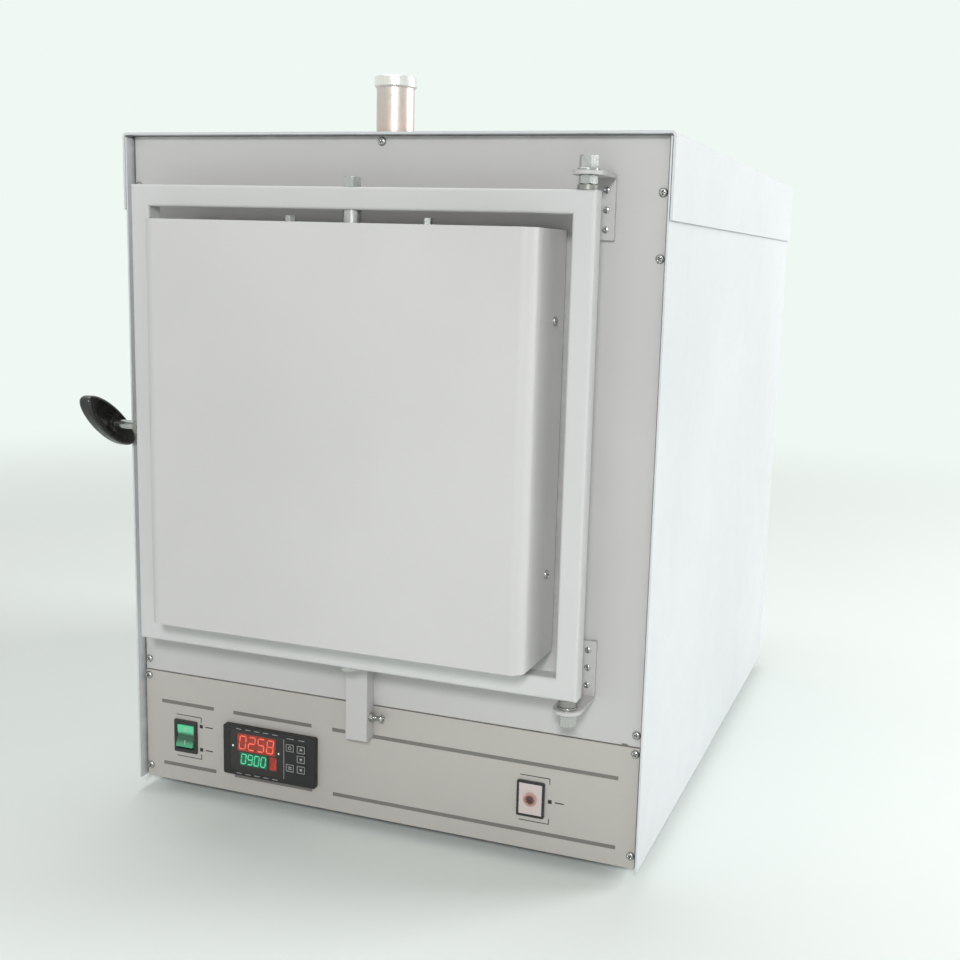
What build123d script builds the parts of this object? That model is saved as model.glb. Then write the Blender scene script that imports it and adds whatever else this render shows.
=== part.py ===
from build123d import *
import os
from math import cos, radians, sin

# Laboratory muffle furnace, in millimetres. X runs to the right, Y to the back and Z up.
# The origin is on the floor, under the middle of the outer box in X and Y.

# Casing
casing_sheet = 1.5
hood_sheet = 2.0
hood_gap = 0.5
hood_drop = 66.0
hood_bend = 4.0
foot_height = 12.0
foot_radius = 14.0
foot_inset = 48.0
front_setback = 9.0
rear_setback = 8.0
plate_margin = 2.5
panel_height = 106.5
panel_sheet = 2.5
split_gap = 0.8
drain_inset = 13.0
drain_length = 5.0
drain_height = 3.0
bottom_flange = 15.0
post_leg = 25.0
post_sheet = 2.0
rail_leg = 20.0
vent_length = 46.0
vent_width = 5.0
vent_rows = 2
vent_columns = 5
louvre_length = 84.0
louvre_height = 12.0
louvre_proud = 5.0
louvre_pitch = 20.0
louvre_wall = 1.0
louvre_rows_low = 3
louvre_rows_high = 4
louvre_spacing = 104.0
louvre_inset = 30.0
louvre_lip = 0.3

# Screws of the casing
screw_head_radius = 3.6
screw_head_height = 2.4
screw_shank_radius = 1.9
screw_length = 9.0
screw_edge = 6.0
plate_screw_low = 10.5
plate_screws_high = (95.0, 45.0)
top_screw_offset = 5.0
panel_screw_edge = 5.5
rear_screw_inset = 39.0

# Chamber and its insulation
chamber_rise = 145.5
chamber_width = 200.0
chamber_height = 200.0
chamber_depth = 400.0
chamber_board = 30.0
mouth_ring_depth = 20.0
mouth_relief = 4.0
wool_rear = 60.0
rear_bay = 125.0
wool_top_gap = 6.0
wool_side_gap = 1.0
wool_front_gap = 1.0
hearth_thickness = 10.0
hearth_margin = 4.0
hearth_plug_gap = 4.5
hearth_edge = 2.0

# Heaters: hairpins of coiled wire, lying in channels of the two side boards
hairpins = 3
heater_radius = 5.7
heater_clearance = 0.3
hairpin_margin = 8.0
hairpin_bend_share = 0.375
heater_front_gap = 16.0
heater_rear_gap = 2.0
tail_radius = 2.0
bead_radius = 6.0
bead_length = 10.0
tail_end = 14.0
probe_radius = 3.0
probe_reach = 40.0
probe_drop = 12.0
probe_head_radius = 11.0
probe_head_length = 22.0

# Exhaust pipe
pipe_outer_radius = 16.0
pipe_wall = 2.0
pipe_height = 47.0
pipe_behind_wall = 40.0
collar_radius = 18.0
collar_height = 9.0
collar_lip = 2.0

# Door frame: a welded square tube
tube = 18.0
tube_wall = 2.0
tube_round = 2.5
frame_gap = 28.5
frame_margin_left = 32.25
frame_margin_right = 47.25
frame_below_top = 46.0

# Door leaf: an insulated pan, hung in the frame on two pivot bolts
leaf_lap_side = 70.5
leaf_lap_top = 71.0
leaf_lap_bottom = 70.5
leaf_gap_side = 16.75
leaf_gap_top = 11.0
leaf_gap_bottom = 9.5
leaf_depth = 76.0
leaf_gap = 5.0
leaf_sheet = 1.5
leaf_bend = 11.0
leaf_flange = 32.0
leaf_screw_inset = 23.0
leaf_screw_from_side = 109.0
leaf_screw_from_end = 69.8
leaf_bolt_flats = 8.0
leaf_bolt_rise = 6.5
leaf_washer_radius = 5.0
leaf_washer_height = 1.2
pivot_hole_room = 0.5
plug_clearance = 8.0
plug_length = 36.0
plug_taper = 4.0
plug_round = 3.0
seal_width = 10.0
seal_lap = 20.0
seal_thickness = 2.2
pivot_radius = 4.0
pivot_head_flats = 13.0
pivot_head_height = 8.0
pivot_foot_height = 4.0
pivot_nut_height = 3.0
pivot_reach = 18.0
pivot_block_height = 15.0
pivot_block_width = 30.0
pivot_block_depth = 24.0
pivot_pocket = 4.0
pivot_spacer_radius = 7.5

# Hinges
hinge_bolt_radius = 4.0
hinge_head_flats = 13.0
hinge_head_height = 9.5
hinge_nut_height = 5.0
hinge_bracket_width = 24.0
hinge_bracket_sheet = 3.0
hinge_bracket_leg = 50.0
hinge_bracket_bend = 4.0
hinge_top_rise = 11.0
hinge_bottom_drop = 8.0
bush_wall = 2.0
bush_collar = 4.0
bush_depth = 22.0
washer_thickness = 2.0
washer_radius = 8.5
rivet_radius = 2.0
rivet_head_radius = 2.6
rivet_head_height = 1.2
rivet_offsets = (12.0, 27.0, 42.0)
rivet_shift = 5.0

# Fits
running_clearance = 0.05
resting_gap = 0.3

# Latch
latch_drop = 7.0
latch_shaft_radius = 4.0
latch_rest_angle = 36.0
latch_bush_proud = 1.8
latch_bush_collar = 4.0
hub_radius = 9.0
hub_lead = 3.2
hook_thickness = 5.0
hook_inner_radius = 22.5
hook_outer_radius = 28.0
hook_start_angle = 38.0
hook_end_angle = 100.0
hook_arm_width = 8.0
hook_arm_lag = 6.0
latch_nut_height = 4.0
knob_offset = 33.3
knob_length = 76.0
knob_width = 26.0
knob_lead = 4.0
knob_thickness = 13.0
knob_round = 4.2
knob_boss_radius = 8.0
knob_boss_height = 3.5
keeper_pin_radius = 3.0
keeper_pin_offset = 18.0
keeper_pin_reach = 8.5
keeper_sheet = 2.5
keeper_height = 40.0
keeper_foot = 22.0
keeper_side_gap = 2.0

# Door switch under the frame
cover_width = 21.0
cover_offset = 15.5
cover_depth = 14.5
cover_drop = 29.5
cover_rise = 6.0
cover_wall = 1.5
switch_length = 34.0
switch_above = 4.0
switch_depth = 6.5
plunger_radius = 3.0
plunger_clearance = 0.2
plunger_collar_radius = 4.5
plunger_collar_thickness = 1.5
plunger_rest_gap = 0.2
cover_screw_rise = 21.0
cover_screw_reach = 13.0
cover_screw_inside = 6.0
cover_nut_flats = 7.0
cover_nut_height = 3.0

# Controller
controller_from_left = 138.0
controller_height = 43.5
bezel_width = 96.0
bezel_height = 48.0
bezel_proud = 6.0
bezel_round = 2.0
case_width = 91.0
case_height = 44.0
case_depth = 72.0
window_offset = -12.5
window_width = 56.0
window_height = 40.0
window_thickness = 1.4
window_sunk = 0.3
key_columns = (23.0, 34.4)
key_rows = (12.0, 2.8, -7.2)
key_width = 8.4
key_height = 7.4
key_thickness = 3.2
key_proud = 0.8
key_clearance = 0.3
key_pocket = 3.6

# Power switch
switch_from_left = 46.0
switch_height = 46.0
switch_bezel_width = 25.0
switch_bezel_height = 32.0
switch_bezel_proud = 2.0
switch_body_width = 22.0
switch_body_height = 28.0
switch_body_depth = 24.0
rocker_half_width = 9.0
rocker_radius = 12.0
rocker_side_gap = 0.3
rocker_end_gap = 0.4
rocker_pivot_depth = 3.0
rocker_valley = 4.0
rocker_crest = 6.0
rocker_back = 5.0
rocker_well = 8.0
rocker_rest_tilt = -8.0
trunnion_radius = 1.5
trunnion_reach = 1.4

# Lamp
lamp_from_right = 95.5
lamp_height = 46.0
lamp_frame = 2.2
lamp_face_thickness = 1.2
lamp_lens_radius = 6.0
lamp_lens_proud = 1.8

# Rear fittings
gland_from_right = 53.5
gland_height = 45.0
gland_thread_radius = 8.0
gland_bore_radius = 4.5
gland_hex_flats = 22.0
gland_hex_height = 6.0
gland_nut_radius = 10.0
gland_round = 4.0
gland_length = 24.0
gland_inside = 12.0
gland_locknut = 4.0
stud_from_right = 103.5
stud_radius = 3.0
stud_length = 16.0
stud_flats = 10.0
stud_nut = 5.0
stud_washer = 1.2

# Parts in the bay under the deck
sink_width = 90.0
sink_length = 110.0
sink_base = 6.0
sink_fin_height = 30.0
sink_fins = 9
sink_fin_thickness = 2.2
sink_from_right = 183.5
sink_from_rear = 326.5
relay_width = 45.0
relay_length = 58.0
relay_height = 28.0
relay_step = 8.0
relay_step_length = 14.0
terminal_ways = 6
terminal_pitch = 14.0
terminal_depth = 26.0
terminal_block_height = 22.0
terminal_from_right = 113.5
terminal_from_rear = 170.5
terminal_inset = 6.0
terminal_bore = 3.0
terminal_well = 7.0

# Places worked out from the sizes above
leaf_width = chamber_width + 2 * leaf_lap_side
frame_width = leaf_width + 2 * (leaf_gap_side + tube)
casing_width = frame_width + frame_margin_left + frame_margin_right
casing_depth = (front_setback + chamber_depth + chamber_board + wool_rear + rear_bay + rear_setback
                + 2 * casing_sheet)
half_width = casing_width / 2
inner_half = half_width - casing_sheet
door_centre_x = (frame_margin_left - frame_margin_right) / 2
base = foot_height
split = base + panel_height
chamber_floor_z = split + chamber_rise
chamber_z = chamber_floor_z + chamber_height / 2
leaf_bottom = chamber_floor_z - leaf_lap_bottom
leaf_top = chamber_floor_z + chamber_height + leaf_lap_top
frame_bottom = leaf_bottom - leaf_gap_bottom - tube
frame_top = leaf_top + leaf_gap_top + tube
top = frame_top + frame_below_top
door_proud = leaf_depth + leaf_gap - front_setback
rear_proud = gland_length - rear_setback
front = (door_proud - casing_depth - rear_proud) / 2
rear = front + casing_depth
wall = front + front_setback
wall_back = wall + casing_sheet
panel_face = wall_back - panel_sheet
rear_face = rear - rear_setback
rear_inner = rear_face - casing_sheet
tray_top = base + 2 * casing_sheet
hood_under = top - hood_sheet
side_top = hood_under - hood_bend + hood_sheet
deck_bottom = split + split_gap
deck_top = deck_bottom + casing_sheet
plate_half = inner_half - plate_margin
chamber_back = wall_back + chamber_depth
ring_back = wall_back + mouth_ring_depth
board_back = chamber_back + chamber_board
wool_back = board_back + wool_rear
wool_top = hood_under - wool_top_gap
board_half_x = chamber_width / 2 + chamber_board
board_half_z = chamber_height / 2 + chamber_board
hairpin_pitch = (chamber_height - hairpin_margin) / hairpins
hairpin_rows = hairpin_pitch / 2
hairpin_bend = hairpin_rows * hairpin_bend_share
frame_left = door_centre_x - frame_width / 2
frame_right = door_centre_x + frame_width / 2
frame_back = wall - frame_gap
hinge_x = frame_right - tube / 2
hinge_y = frame_back - tube / 2
leaf_half = leaf_width / 2
leaf_back = wall - leaf_gap
leaf_front = leaf_back - leaf_depth
leaf_screw_y = leaf_back - leaf_screw_inset
plug_half_x = chamber_width / 2 - plug_clearance
plug_half_z = chamber_height / 2 - plug_clearance
latch_z = chamber_z - latch_drop
hub_start = frame_left + tube + latch_bush_proud + resting_gap
hook_end = hub_start + hub_lead + hook_thickness
shaft_end = hook_end + latch_nut_height
knob_x = frame_left - knob_offset
controller_x = controller_from_left - inner_half
controller_z = base + controller_height
bezel_front = panel_face - bezel_proud
switch_x = switch_from_left - inner_half
switch_z = base + switch_height
rocker_y = panel_face + rocker_pivot_depth
lamp_x = inner_half - lamp_from_right
lamp_z = base + lamp_height
plunger_z = frame_bottom + tube / 2
cover_left = door_centre_x - cover_offset
cover_right = cover_left + cover_width
cover_x = (cover_left + cover_right) / 2
cover_bottom = split - cover_drop
cover_top = plunger_z + cover_rise
cover_front = wall - cover_depth
gland_x = inner_half - gland_from_right
gland_z = base + gland_height
stud_x = inner_half - stud_from_right
sink_x = inner_half - sink_from_right
sink_back = rear_inner - sink_from_rear
terminal_x = inner_half - terminal_from_right
terminal_back = rear_inner - terminal_from_rear


def block(x, y, z):
    """A box between a low and a high value on each axis."""
    size = Box(x[1] - x[0], y[1] - y[0], z[1] - z[0])
    return Pos((x[0] + x[1]) / 2, (y[0] + y[1]) / 2, (z[0] + z[1]) / 2) * size


def around(centre, half):
    return (centre - half, centre + half)


def rod_x(y, z, radius, x):
    turn = Pos((x[0] + x[1]) / 2, y, z) * Rot(0, 90, 0)
    return turn * Cylinder(radius, x[1] - x[0])


def rod_y(x, z, radius, y):
    turn = Pos(x, (y[0] + y[1]) / 2, z) * Rot(90, 0, 0)
    return turn * Cylinder(radius, y[1] - y[0])


def rod_z(x, y, radius, z):
    return Pos(x, y, (z[0] + z[1]) / 2) * Cylinder(radius, z[1] - z[0])


def hex_z(x, y, flats, z):
    """A hexagonal prism, flats given across, standing along Z."""
    outline = RegularPolygon(flats / 2, 6, major_radius=False)
    return Pos(x, y, z[0]) * extrude(outline, z[1] - z[0])


def hex_x(y, z, flats, x):
    outline = Plane.YZ * RegularPolygon(flats / 2, 6, major_radius=False)
    return Pos(x[0], y, z) * extrude(outline, x[1] - x[0])


def hex_y(x, z, flats, y):
    outline = Plane.XZ * RegularPolygon(flats / 2, 6, major_radius=False)
    return Pos(x, y[1], z) * extrude(outline, y[1] - y[0])


def pan_screw(place, head_radius=screw_head_radius, length=screw_length):
    """A pan-head screw whose head seats on place's XY plane, with its shank going down."""
    head = Cylinder(head_radius, screw_head_height, align=(Align.CENTER, Align.CENTER, Align.MIN))
    head = fillet(head.edges().group_by(Axis.Z)[-1], screw_head_height * 0.6)
    shank = Cylinder(screw_shank_radius, length, align=(Align.CENTER, Align.CENTER, Align.MAX))
    return place * (head + shank)


def facing_front(x, y, z):
    """A place whose Z axis points to the front, for screws driven towards the back."""
    return Location(Plane((x, y, z), x_dir=(1, 0, 0), z_dir=(0, -1, 0)))


def facing_rear(x, y, z):
    return Location(Plane((x, y, z), x_dir=(1, 0, 0), z_dir=(0, 1, 0)))


def facing_side(x, y, z, sign):
    return Location(Plane((x, y, z), x_dir=(0, 1, 0), z_dir=(sign, 0, 0)))


# Casing


def base_tray():
    tray = block((-inner_half, inner_half), (wall_back, rear_face), (base + casing_sheet, tray_top))
    for row in range(vent_rows):
        y = front + casing_depth * (row + 1) / (vent_rows + 1)
        for column in range(vent_columns):
            x = (column - (vent_columns - 1) / 2) * vent_length * 1.5
            slot = extrude(SlotOverall(vent_length, vent_width), foot_height)
            tray -= Pos(x, y, base - casing_sheet) * slot
    return [tray]


def side_panel(sign):
    sheet = block((inner_half, half_width), (front, rear), (base, side_top))
    foot = block((inner_half - bottom_flange, inner_half), (wall_back, rear_face),
                 (base, base + casing_sheet))
    panel = sheet + foot
    return [panel if sign > 0 else mirror(panel, Plane.YZ)]


def hood_outline(half, drop, bend):
    """An upside-down U seen from the front, as a closed outline down to its open edge."""
    outline = Pos(0, -drop / 2) * Rectangle(2 * half, drop)
    return fillet(outline.vertices().group_by(Axis.Y)[-1], bend)


def top_hood():
    outer_half = half_width + hood_gap + hood_sheet
    outer = hood_outline(outer_half, hood_drop, hood_bend)
    inner = Pos(0, -hood_sheet) * hood_outline(outer_half - hood_sheet, hood_drop, hood_bend - hood_sheet)
    shell = extrude(Plane.XZ * (outer - inner), -casing_depth)
    hood = Pos(0, front, top) * shell
    hood -= rod_z(door_centre_x, wall + pipe_behind_wall, pipe_outer_radius, (hood_under - 5, top + 5))
    return [hood]


def corner_posts():
    """Four angles that carry the sheets, standing on the tray."""
    posts = []
    for side in (-1, 1):
        for end in (-1, 1):
            y_face = wall_back if end < 0 else rear_inner
            legs = Rectangle(post_leg, post_leg, align=(Align.MAX, Align.MIN))
            hollow = Rectangle(post_leg - post_sheet, post_leg - post_sheet, align=(Align.MAX, Align.MIN))
            angle = legs - Pos(-post_sheet, post_sheet) * hollow
            post = extrude(angle, hood_under - tray_top)
            if side < 0:
                post = mirror(post, Plane.YZ)
            if end > 0:
                post = mirror(post, Plane.XZ)
            posts.append(Pos(side * inner_half, y_face, tray_top) * post)
    return posts


def front_rails():
    """A rail behind the top edge of the front plate."""
    x = around(0, inner_half - post_leg)
    plate = block(x, (wall_back, wall_back + post_sheet), (hood_under - post_leg, hood_under))
    shelf = block(x, (wall_back + post_sheet, wall_back + rail_leg), (hood_under - post_sheet, hood_under))
    return [plate + shelf]


def deck_rails():
    """Angles along both sides that carry the deck plate."""
    rails = []
    y = (wall_back + post_leg, rear_inner - post_leg)
    for side in (-1, 1):
        upright = block((inner_half - casing_sheet, inner_half), y, (deck_bottom - rail_leg, deck_bottom))
        ledge = block((inner_half - rail_leg, inner_half - casing_sheet), y,
                      (deck_bottom - casing_sheet, deck_bottom))
        rail = upright + ledge
        rails.append(rail if side > 0 else mirror(rail, Plane.YZ))
    return rails


def deck_plate():
    plate = block((-inner_half, inner_half), (wall_back, rear_inner), (deck_bottom, deck_top))
    for side in (-1, 1):
        for y in (wall_back, rear_inner):
            plate -= block(around(side * inner_half, post_leg), around(y, post_leg),
                           (deck_bottom - 1, deck_top + 1))
    return [plate]


def feet():
    """Rubber feet, wider at the top, with a rounded lower edge."""
    height = foot_height + casing_sheet
    foot = Cone(foot_radius - 2, foot_radius, height, align=(Align.CENTER, Align.CENTER, Align.MIN))
    foot = fillet(foot.edges().group_by(Axis.Z)[0], 1.5)
    return [Pos(x, y, 0) * foot
            for x in (-half_width + foot_inset, half_width - foot_inset)
            for y in (front + foot_inset, rear - foot_inset)]


def front_plate_screws():
    x = inner_half - screw_edge
    heights = [split + plate_screw_low] + [top - drop for drop in plate_screws_high]
    places = [(side * x, z) for side in (-1, 1) for z in heights]
    places.append((0, hood_under - top_screw_offset))
    return [pan_screw(facing_front(x, wall, z)) for x, z in places]


def front_plate():
    z = (split + split_gap / 2, hood_under - split_gap)
    plate = block(around(0, plate_half), (wall, wall_back), z)
    opening_x = around(door_centre_x, chamber_width / 2 + mouth_relief)
    opening_z = around(chamber_z, chamber_height / 2 + mouth_relief)
    plate -= block(opening_x, (wall - 1, wall_back + 1), opening_z)
    plate -= block(around(plate_half - drain_inset, drain_length / 2), (wall - 1, wall_back + 1),
                   around(z[0], drain_height / 2))
    for screw in front_plate_screws() + bracket_rivets():
        plate -= screw
    return [plate]


def control_panel_screws():
    x = inner_half - screw_edge
    heights = (base + 2 * panel_screw_edge, split - panel_screw_edge)
    return [pan_screw(facing_front(side * x, panel_face, z)) for side in (-1, 1) for z in heights]


def panel_fasteners():
    return front_plate_screws() + control_panel_screws()


def control_panel():
    y = (panel_face, wall_back)
    cut = (panel_face - 1, wall_back + 1)
    panel = block(around(0, plate_half), y, (base, split - split_gap / 2))
    panel -= block(around(controller_x, case_width / 2), cut, around(controller_z, case_height / 2))
    for x, z in ((switch_x, switch_z), (lamp_x, lamp_z)):
        panel -= block(around(x, switch_body_width / 2), cut, around(z, switch_body_height / 2))
    for screw in control_panel_screws():
        panel -= screw
    return [panel]


def drilled_posts():
    """The posts with the holes that the casing's screws go into."""
    posts = corner_posts()
    screws = panel_fasteners() + rear_panel_screws()
    drilled = []
    for post in posts:
        for screw in screws:
            post -= screw
        drilled.append(post)
    return drilled


def drilled_rail():
    rail = front_rails()[0]
    for screw in front_plate_screws():
        rail -= screw
    return [rail]


def louvre(x, z, inset):
    """The wedge of a pressed louvre over a slot at height z; inset gives the space under its skin."""
    proud = louvre_proud - inset
    height = louvre_height - inset
    outline = Polygon((rear_inner - inset, z - inset), (rear_face + proud, z - inset),
                      (rear_face + proud, z + height * louvre_lip), (rear_face - inset, z + height),
                      (rear_inner - inset, z + height), align=None)
    return Pos(x, 0, 0) * extrude(Plane.YZ * outline, louvre_length / 2 - inset, both=True)


def rear_panel_screws():
    x = inner_half - screw_edge
    heights = (base + rear_screw_inset, (base + top) / 2, top - rear_screw_inset)
    return [pan_screw(facing_rear(side * x, rear_face, z)) for side in (-1, 1) for z in heights]


def rear_panel():
    panel = block((-inner_half, inner_half), (rear_inner, rear_face), (tray_top, hood_under))
    rows = [tray_top + louvre_inset + row * louvre_pitch for row in range(louvre_rows_low)]
    rows += [wool_top - louvre_inset - row * louvre_pitch for row in range(louvre_rows_high)]
    for x in (-louvre_spacing / 2, louvre_spacing / 2):
        for z in rows:
            panel += louvre(x, z, 0)
            panel -= louvre(x, z, louvre_wall)
    panel -= rod_y(gland_x, gland_z, gland_thread_radius, (rear_inner - 1, rear_face + 1))
    panel -= rod_y(stud_x, gland_z, stud_radius, (rear_inner - 1, rear_face + 1))
    for screw in rear_panel_screws():
        panel -= screw
    return [panel]


# Chamber


def pipe_path(z):
    return rod_z(door_centre_x, wall + pipe_behind_wall, pipe_outer_radius, z)


def mouth_ring():
    """The ceramic ring that lines the mouth, just behind the front plate."""
    y = (wall_back, ring_back)
    ring = block(around(door_centre_x, board_half_x), y, around(chamber_z, board_half_z))
    ring -= block(around(door_centre_x, chamber_width / 2), (wall_back - 1, ring_back + 1),
                  around(chamber_z, chamber_height / 2))
    return [ring]


def hairpin_heights():
    return [chamber_z + (index - (hairpins - 1) / 2) * hairpin_pitch for index in range(hairpins)]


def tail_places():
    """Where the heater ends pass through the back of the chamber."""
    x = chamber_width / 2 + heater_radius + heater_clearance
    return [(door_centre_x + side * x, z + end * hairpin_rows / 2)
            for side in (-1, 1) for z in hairpin_heights() for end in (-1, 1)]


def heater_channel():
    """The U-shaped channel of one hairpin in the right-hand board, centred on height zero."""
    half = heater_radius + heater_clearance
    rows = hairpin_rows / 2
    start = ring_back + heater_front_gap - half
    length = chamber_back - start + 1
    band = Pos(start, 0) * Rectangle(length, 2 * (rows + half), align=(Align.MIN, Align.CENTER))
    band = fillet(band.vertices().group_by(Axis.X)[0], hairpin_bend + half)
    core = Pos(start + 2 * half, 0) * Rectangle(length, 2 * (rows - half), align=(Align.MIN, Align.CENTER))
    core = fillet(core.vertices().group_by(Axis.X)[0], hairpin_bend - half)
    x = door_centre_x + chamber_width / 2
    return Pos(x - 1, 0, 0) * extrude(Plane.YZ * (band - core), 2 * half + 1)


def side_board(side):
    x = (door_centre_x + chamber_width / 2, door_centre_x + board_half_x)
    board = block(x, (ring_back, chamber_back), around(chamber_z, board_half_z))
    for z in hairpin_heights():
        board -= Pos(0, 0, z) * heater_channel()
    if side < 0:
        board = mirror(board, Plane(origin=(door_centre_x, 0, 0), z_dir=(1, 0, 0)))
    return [board]


def chamber_roof():
    z = (chamber_z + chamber_height / 2, chamber_z + board_half_z)
    board = block(around(door_centre_x, chamber_width / 2), (ring_back, chamber_back), z)
    return [board - pipe_path((z[0] - 1, z[1] + 1))]


def chamber_floor():
    z = (chamber_z - board_half_z, chamber_z - chamber_height / 2)
    return [block(around(door_centre_x, chamber_width / 2), (ring_back, chamber_back), z)]


def probe_line(radius, y):
    return rod_y(door_centre_x, chamber_z + chamber_height / 2 - probe_drop, radius, y)


def pierced(board, y):
    """Cuts the holes for the heater ends and for the thermocouple."""
    for x, z in tail_places():
        board -= rod_y(x, z, tail_radius, (y[0] - 1, y[1] + 1))
    return board - probe_line(probe_radius, (y[0] - 1, y[1] + 1))


def chamber_back_board():
    y = (chamber_back, board_back)
    return [pierced(block(around(door_centre_x, board_half_x), y, around(chamber_z, board_half_z)), y)]


def side_wool(side):
    edge = side * (inner_half - post_sheet - wool_side_gap)
    x = sorted((edge, door_centre_x + side * board_half_x))
    return [block(x, (wall_back + post_leg + wool_front_gap, wool_back), (deck_top, wool_top))]


def top_wool():
    z = (chamber_z + board_half_z, wool_top)
    wool = block(around(door_centre_x, board_half_x), (wall_back + rail_leg + wool_front_gap, wool_back), z)
    return [wool - pipe_path((z[0] - 1, z[1] + 1))]


def bottom_wool():
    z = (deck_top, chamber_z - board_half_z)
    return [block(around(door_centre_x, board_half_x), (wall_back, wool_back), z)]


def rear_wool():
    y = (board_back, wool_back)
    return [pierced(block(around(door_centre_x, board_half_x), y, around(chamber_z, board_half_z)), y)]


def hearth_plate():
    y = (leaf_back + plug_length + hearth_plug_gap, chamber_back - hearth_margin)
    plate = block(around(door_centre_x, chamber_width / 2 - hearth_margin), y,
                  (chamber_floor_z, chamber_floor_z + hearth_thickness))
    return [chamfer(plate.edges().group_by(Axis.Z)[-1], hearth_edge)]


def heaters(side):
    """Hairpins of coiled wire, each with two straight ends that run out through the back."""
    x = door_centre_x + side * (chamber_width / 2 + heater_radius + heater_clearance)
    start = ring_back + heater_front_gap
    end = chamber_back - heater_rear_gap
    hairs = []
    for z in hairpin_heights():
        low = z - hairpin_rows / 2
        high = z + hairpin_rows / 2
        path = FilletPolyline((x, end, low), (x, start, low), (x, start, high), (x, end, high),
                              radius=hairpin_bend)
        ring = Location(Plane((x, end, low), z_dir=(0, -1, 0))) * Circle(heater_radius)
        hair = sweep(ring, path)
        for height in (low, high):
            hair += rod_y(x, height, tail_radius, (end, wool_back + tail_end))
        hairs.append(hair)
    return hairs


def heater_beads():
    """Ceramic beads that lead the heater ends out of the insulation."""
    y = (wool_back, wool_back + bead_length)
    beads = []
    for x, z in tail_places():
        bead = rod_y(x, z, bead_radius, y)
        bead = fillet(bead.edges().group_by(Axis.Y)[-1], 1.5)
        beads.append(bead - rod_y(x, z, tail_radius, (y[0] - 1, y[1] + 1)))
    return beads


def thermocouple():
    head = probe_line(probe_head_radius, (wool_back, wool_back + probe_head_length))
    head = fillet(head.edges().group_by(Axis.Y)[-1], 3)
    sheath = probe_line(probe_radius, (chamber_back - probe_reach, wool_back))
    sheath = fillet(sheath.edges().group_by(Axis.Y)[0], probe_radius * 0.8)
    return [head + sheath]


def exhaust_pipe():
    z = (chamber_z + chamber_height / 2, top + pipe_height)
    bore = rod_z(door_centre_x, wall + pipe_behind_wall, pipe_outer_radius - pipe_wall,
                 (z[0] - 1, z[1] + 1))
    return [pipe_path(z) - bore]


def exhaust_collar():
    y = wall + pipe_behind_wall
    end = top + pipe_height + collar_lip
    collar = rod_z(door_centre_x, y, collar_radius, (end - collar_height, end))
    collar = chamfer(collar.edges().group_by(Axis.Z)[0], 1.2)
    collar = fillet(collar.edges().group_by(Axis.Z)[-1], 1.0)
    return [collar - rod_z(door_centre_x, y, pipe_outer_radius, (end - collar_height - 1, end + 1))]


# Hinges


def hinge_bracket(upper):
    """A bent strip: one leg on the wall, the other reaching out to the hinge bolt, with a round end."""
    sheet = hinge_bracket_sheet
    face = wall - sheet
    if upper:
        plate_z = (frame_top + hinge_top_rise, frame_top + hinge_top_rise + sheet)
        leg_z = (plate_z[1] - hinge_bracket_leg, plate_z[1])
    else:
        plate_z = (frame_bottom - hinge_bottom_drop - sheet, frame_bottom - hinge_bottom_drop)
        leg_z = (plate_z[0], plate_z[0] + hinge_bracket_leg)
    x = around(hinge_x, hinge_bracket_width / 2)
    leg = block(x, (face, wall), leg_z)
    plate = block(x, (hinge_y, wall), plate_z)
    plate += rod_z(hinge_x, hinge_y, hinge_bracket_width / 2, plate_z)
    bracket = leg + plate
    corner = bracket.edges().filter_by(Axis.X).group_by(Axis.Y)[-1].sort_by(Axis.Z)[-1 if upper else 0]
    bracket = fillet(corner, hinge_bracket_bend)
    bracket -= rod_z(hinge_x, hinge_y, hinge_bolt_radius, (plate_z[0] - 1, plate_z[1] + 1))
    for rivet in bracket_rivets():
        bracket -= rivet
    return [bracket]


def bracket_rivets():
    rivets = []
    upper_end = frame_top + hinge_top_rise + hinge_bracket_sheet
    lower_end = frame_bottom - hinge_bottom_drop - hinge_bracket_sheet
    x = hinge_x + rivet_shift
    for offset in rivet_offsets:
        for z in (upper_end - offset, lower_end + offset):
            y = wall - hinge_bracket_sheet
            head = rod_y(x, z, rivet_head_radius, (y - rivet_head_height, y))
            head = fillet(head.edges().group_by(Axis.Y)[0], rivet_head_height * 0.7)
            rivets.append(head + rod_y(x, z, rivet_radius, (y, wall_back)))
    return rivets


def hinge_bolts():
    plate_top = frame_top + hinge_top_rise + hinge_bracket_sheet
    plate_bottom = frame_bottom - hinge_bottom_drop - hinge_bracket_sheet
    seat_top = plate_top + washer_thickness
    seat_bottom = plate_bottom - washer_thickness
    upper = hex_z(hinge_x, hinge_y, hinge_head_flats, (seat_top, seat_top + hinge_head_height))
    upper += rod_z(hinge_x, hinge_y, hinge_bolt_radius, (frame_top - tube, seat_top))
    lower = hex_z(hinge_x, hinge_y, hinge_head_flats, (seat_bottom - hinge_head_height, seat_bottom))
    lower += rod_z(hinge_x, hinge_y, hinge_bolt_radius, (seat_bottom, frame_bottom + tube))
    return [upper, lower]


def washer(radius, bore, x, y, z):
    return rod_z(x, y, radius, z) - rod_z(x, y, bore, (z[0] - 1, z[1] + 1))


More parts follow.
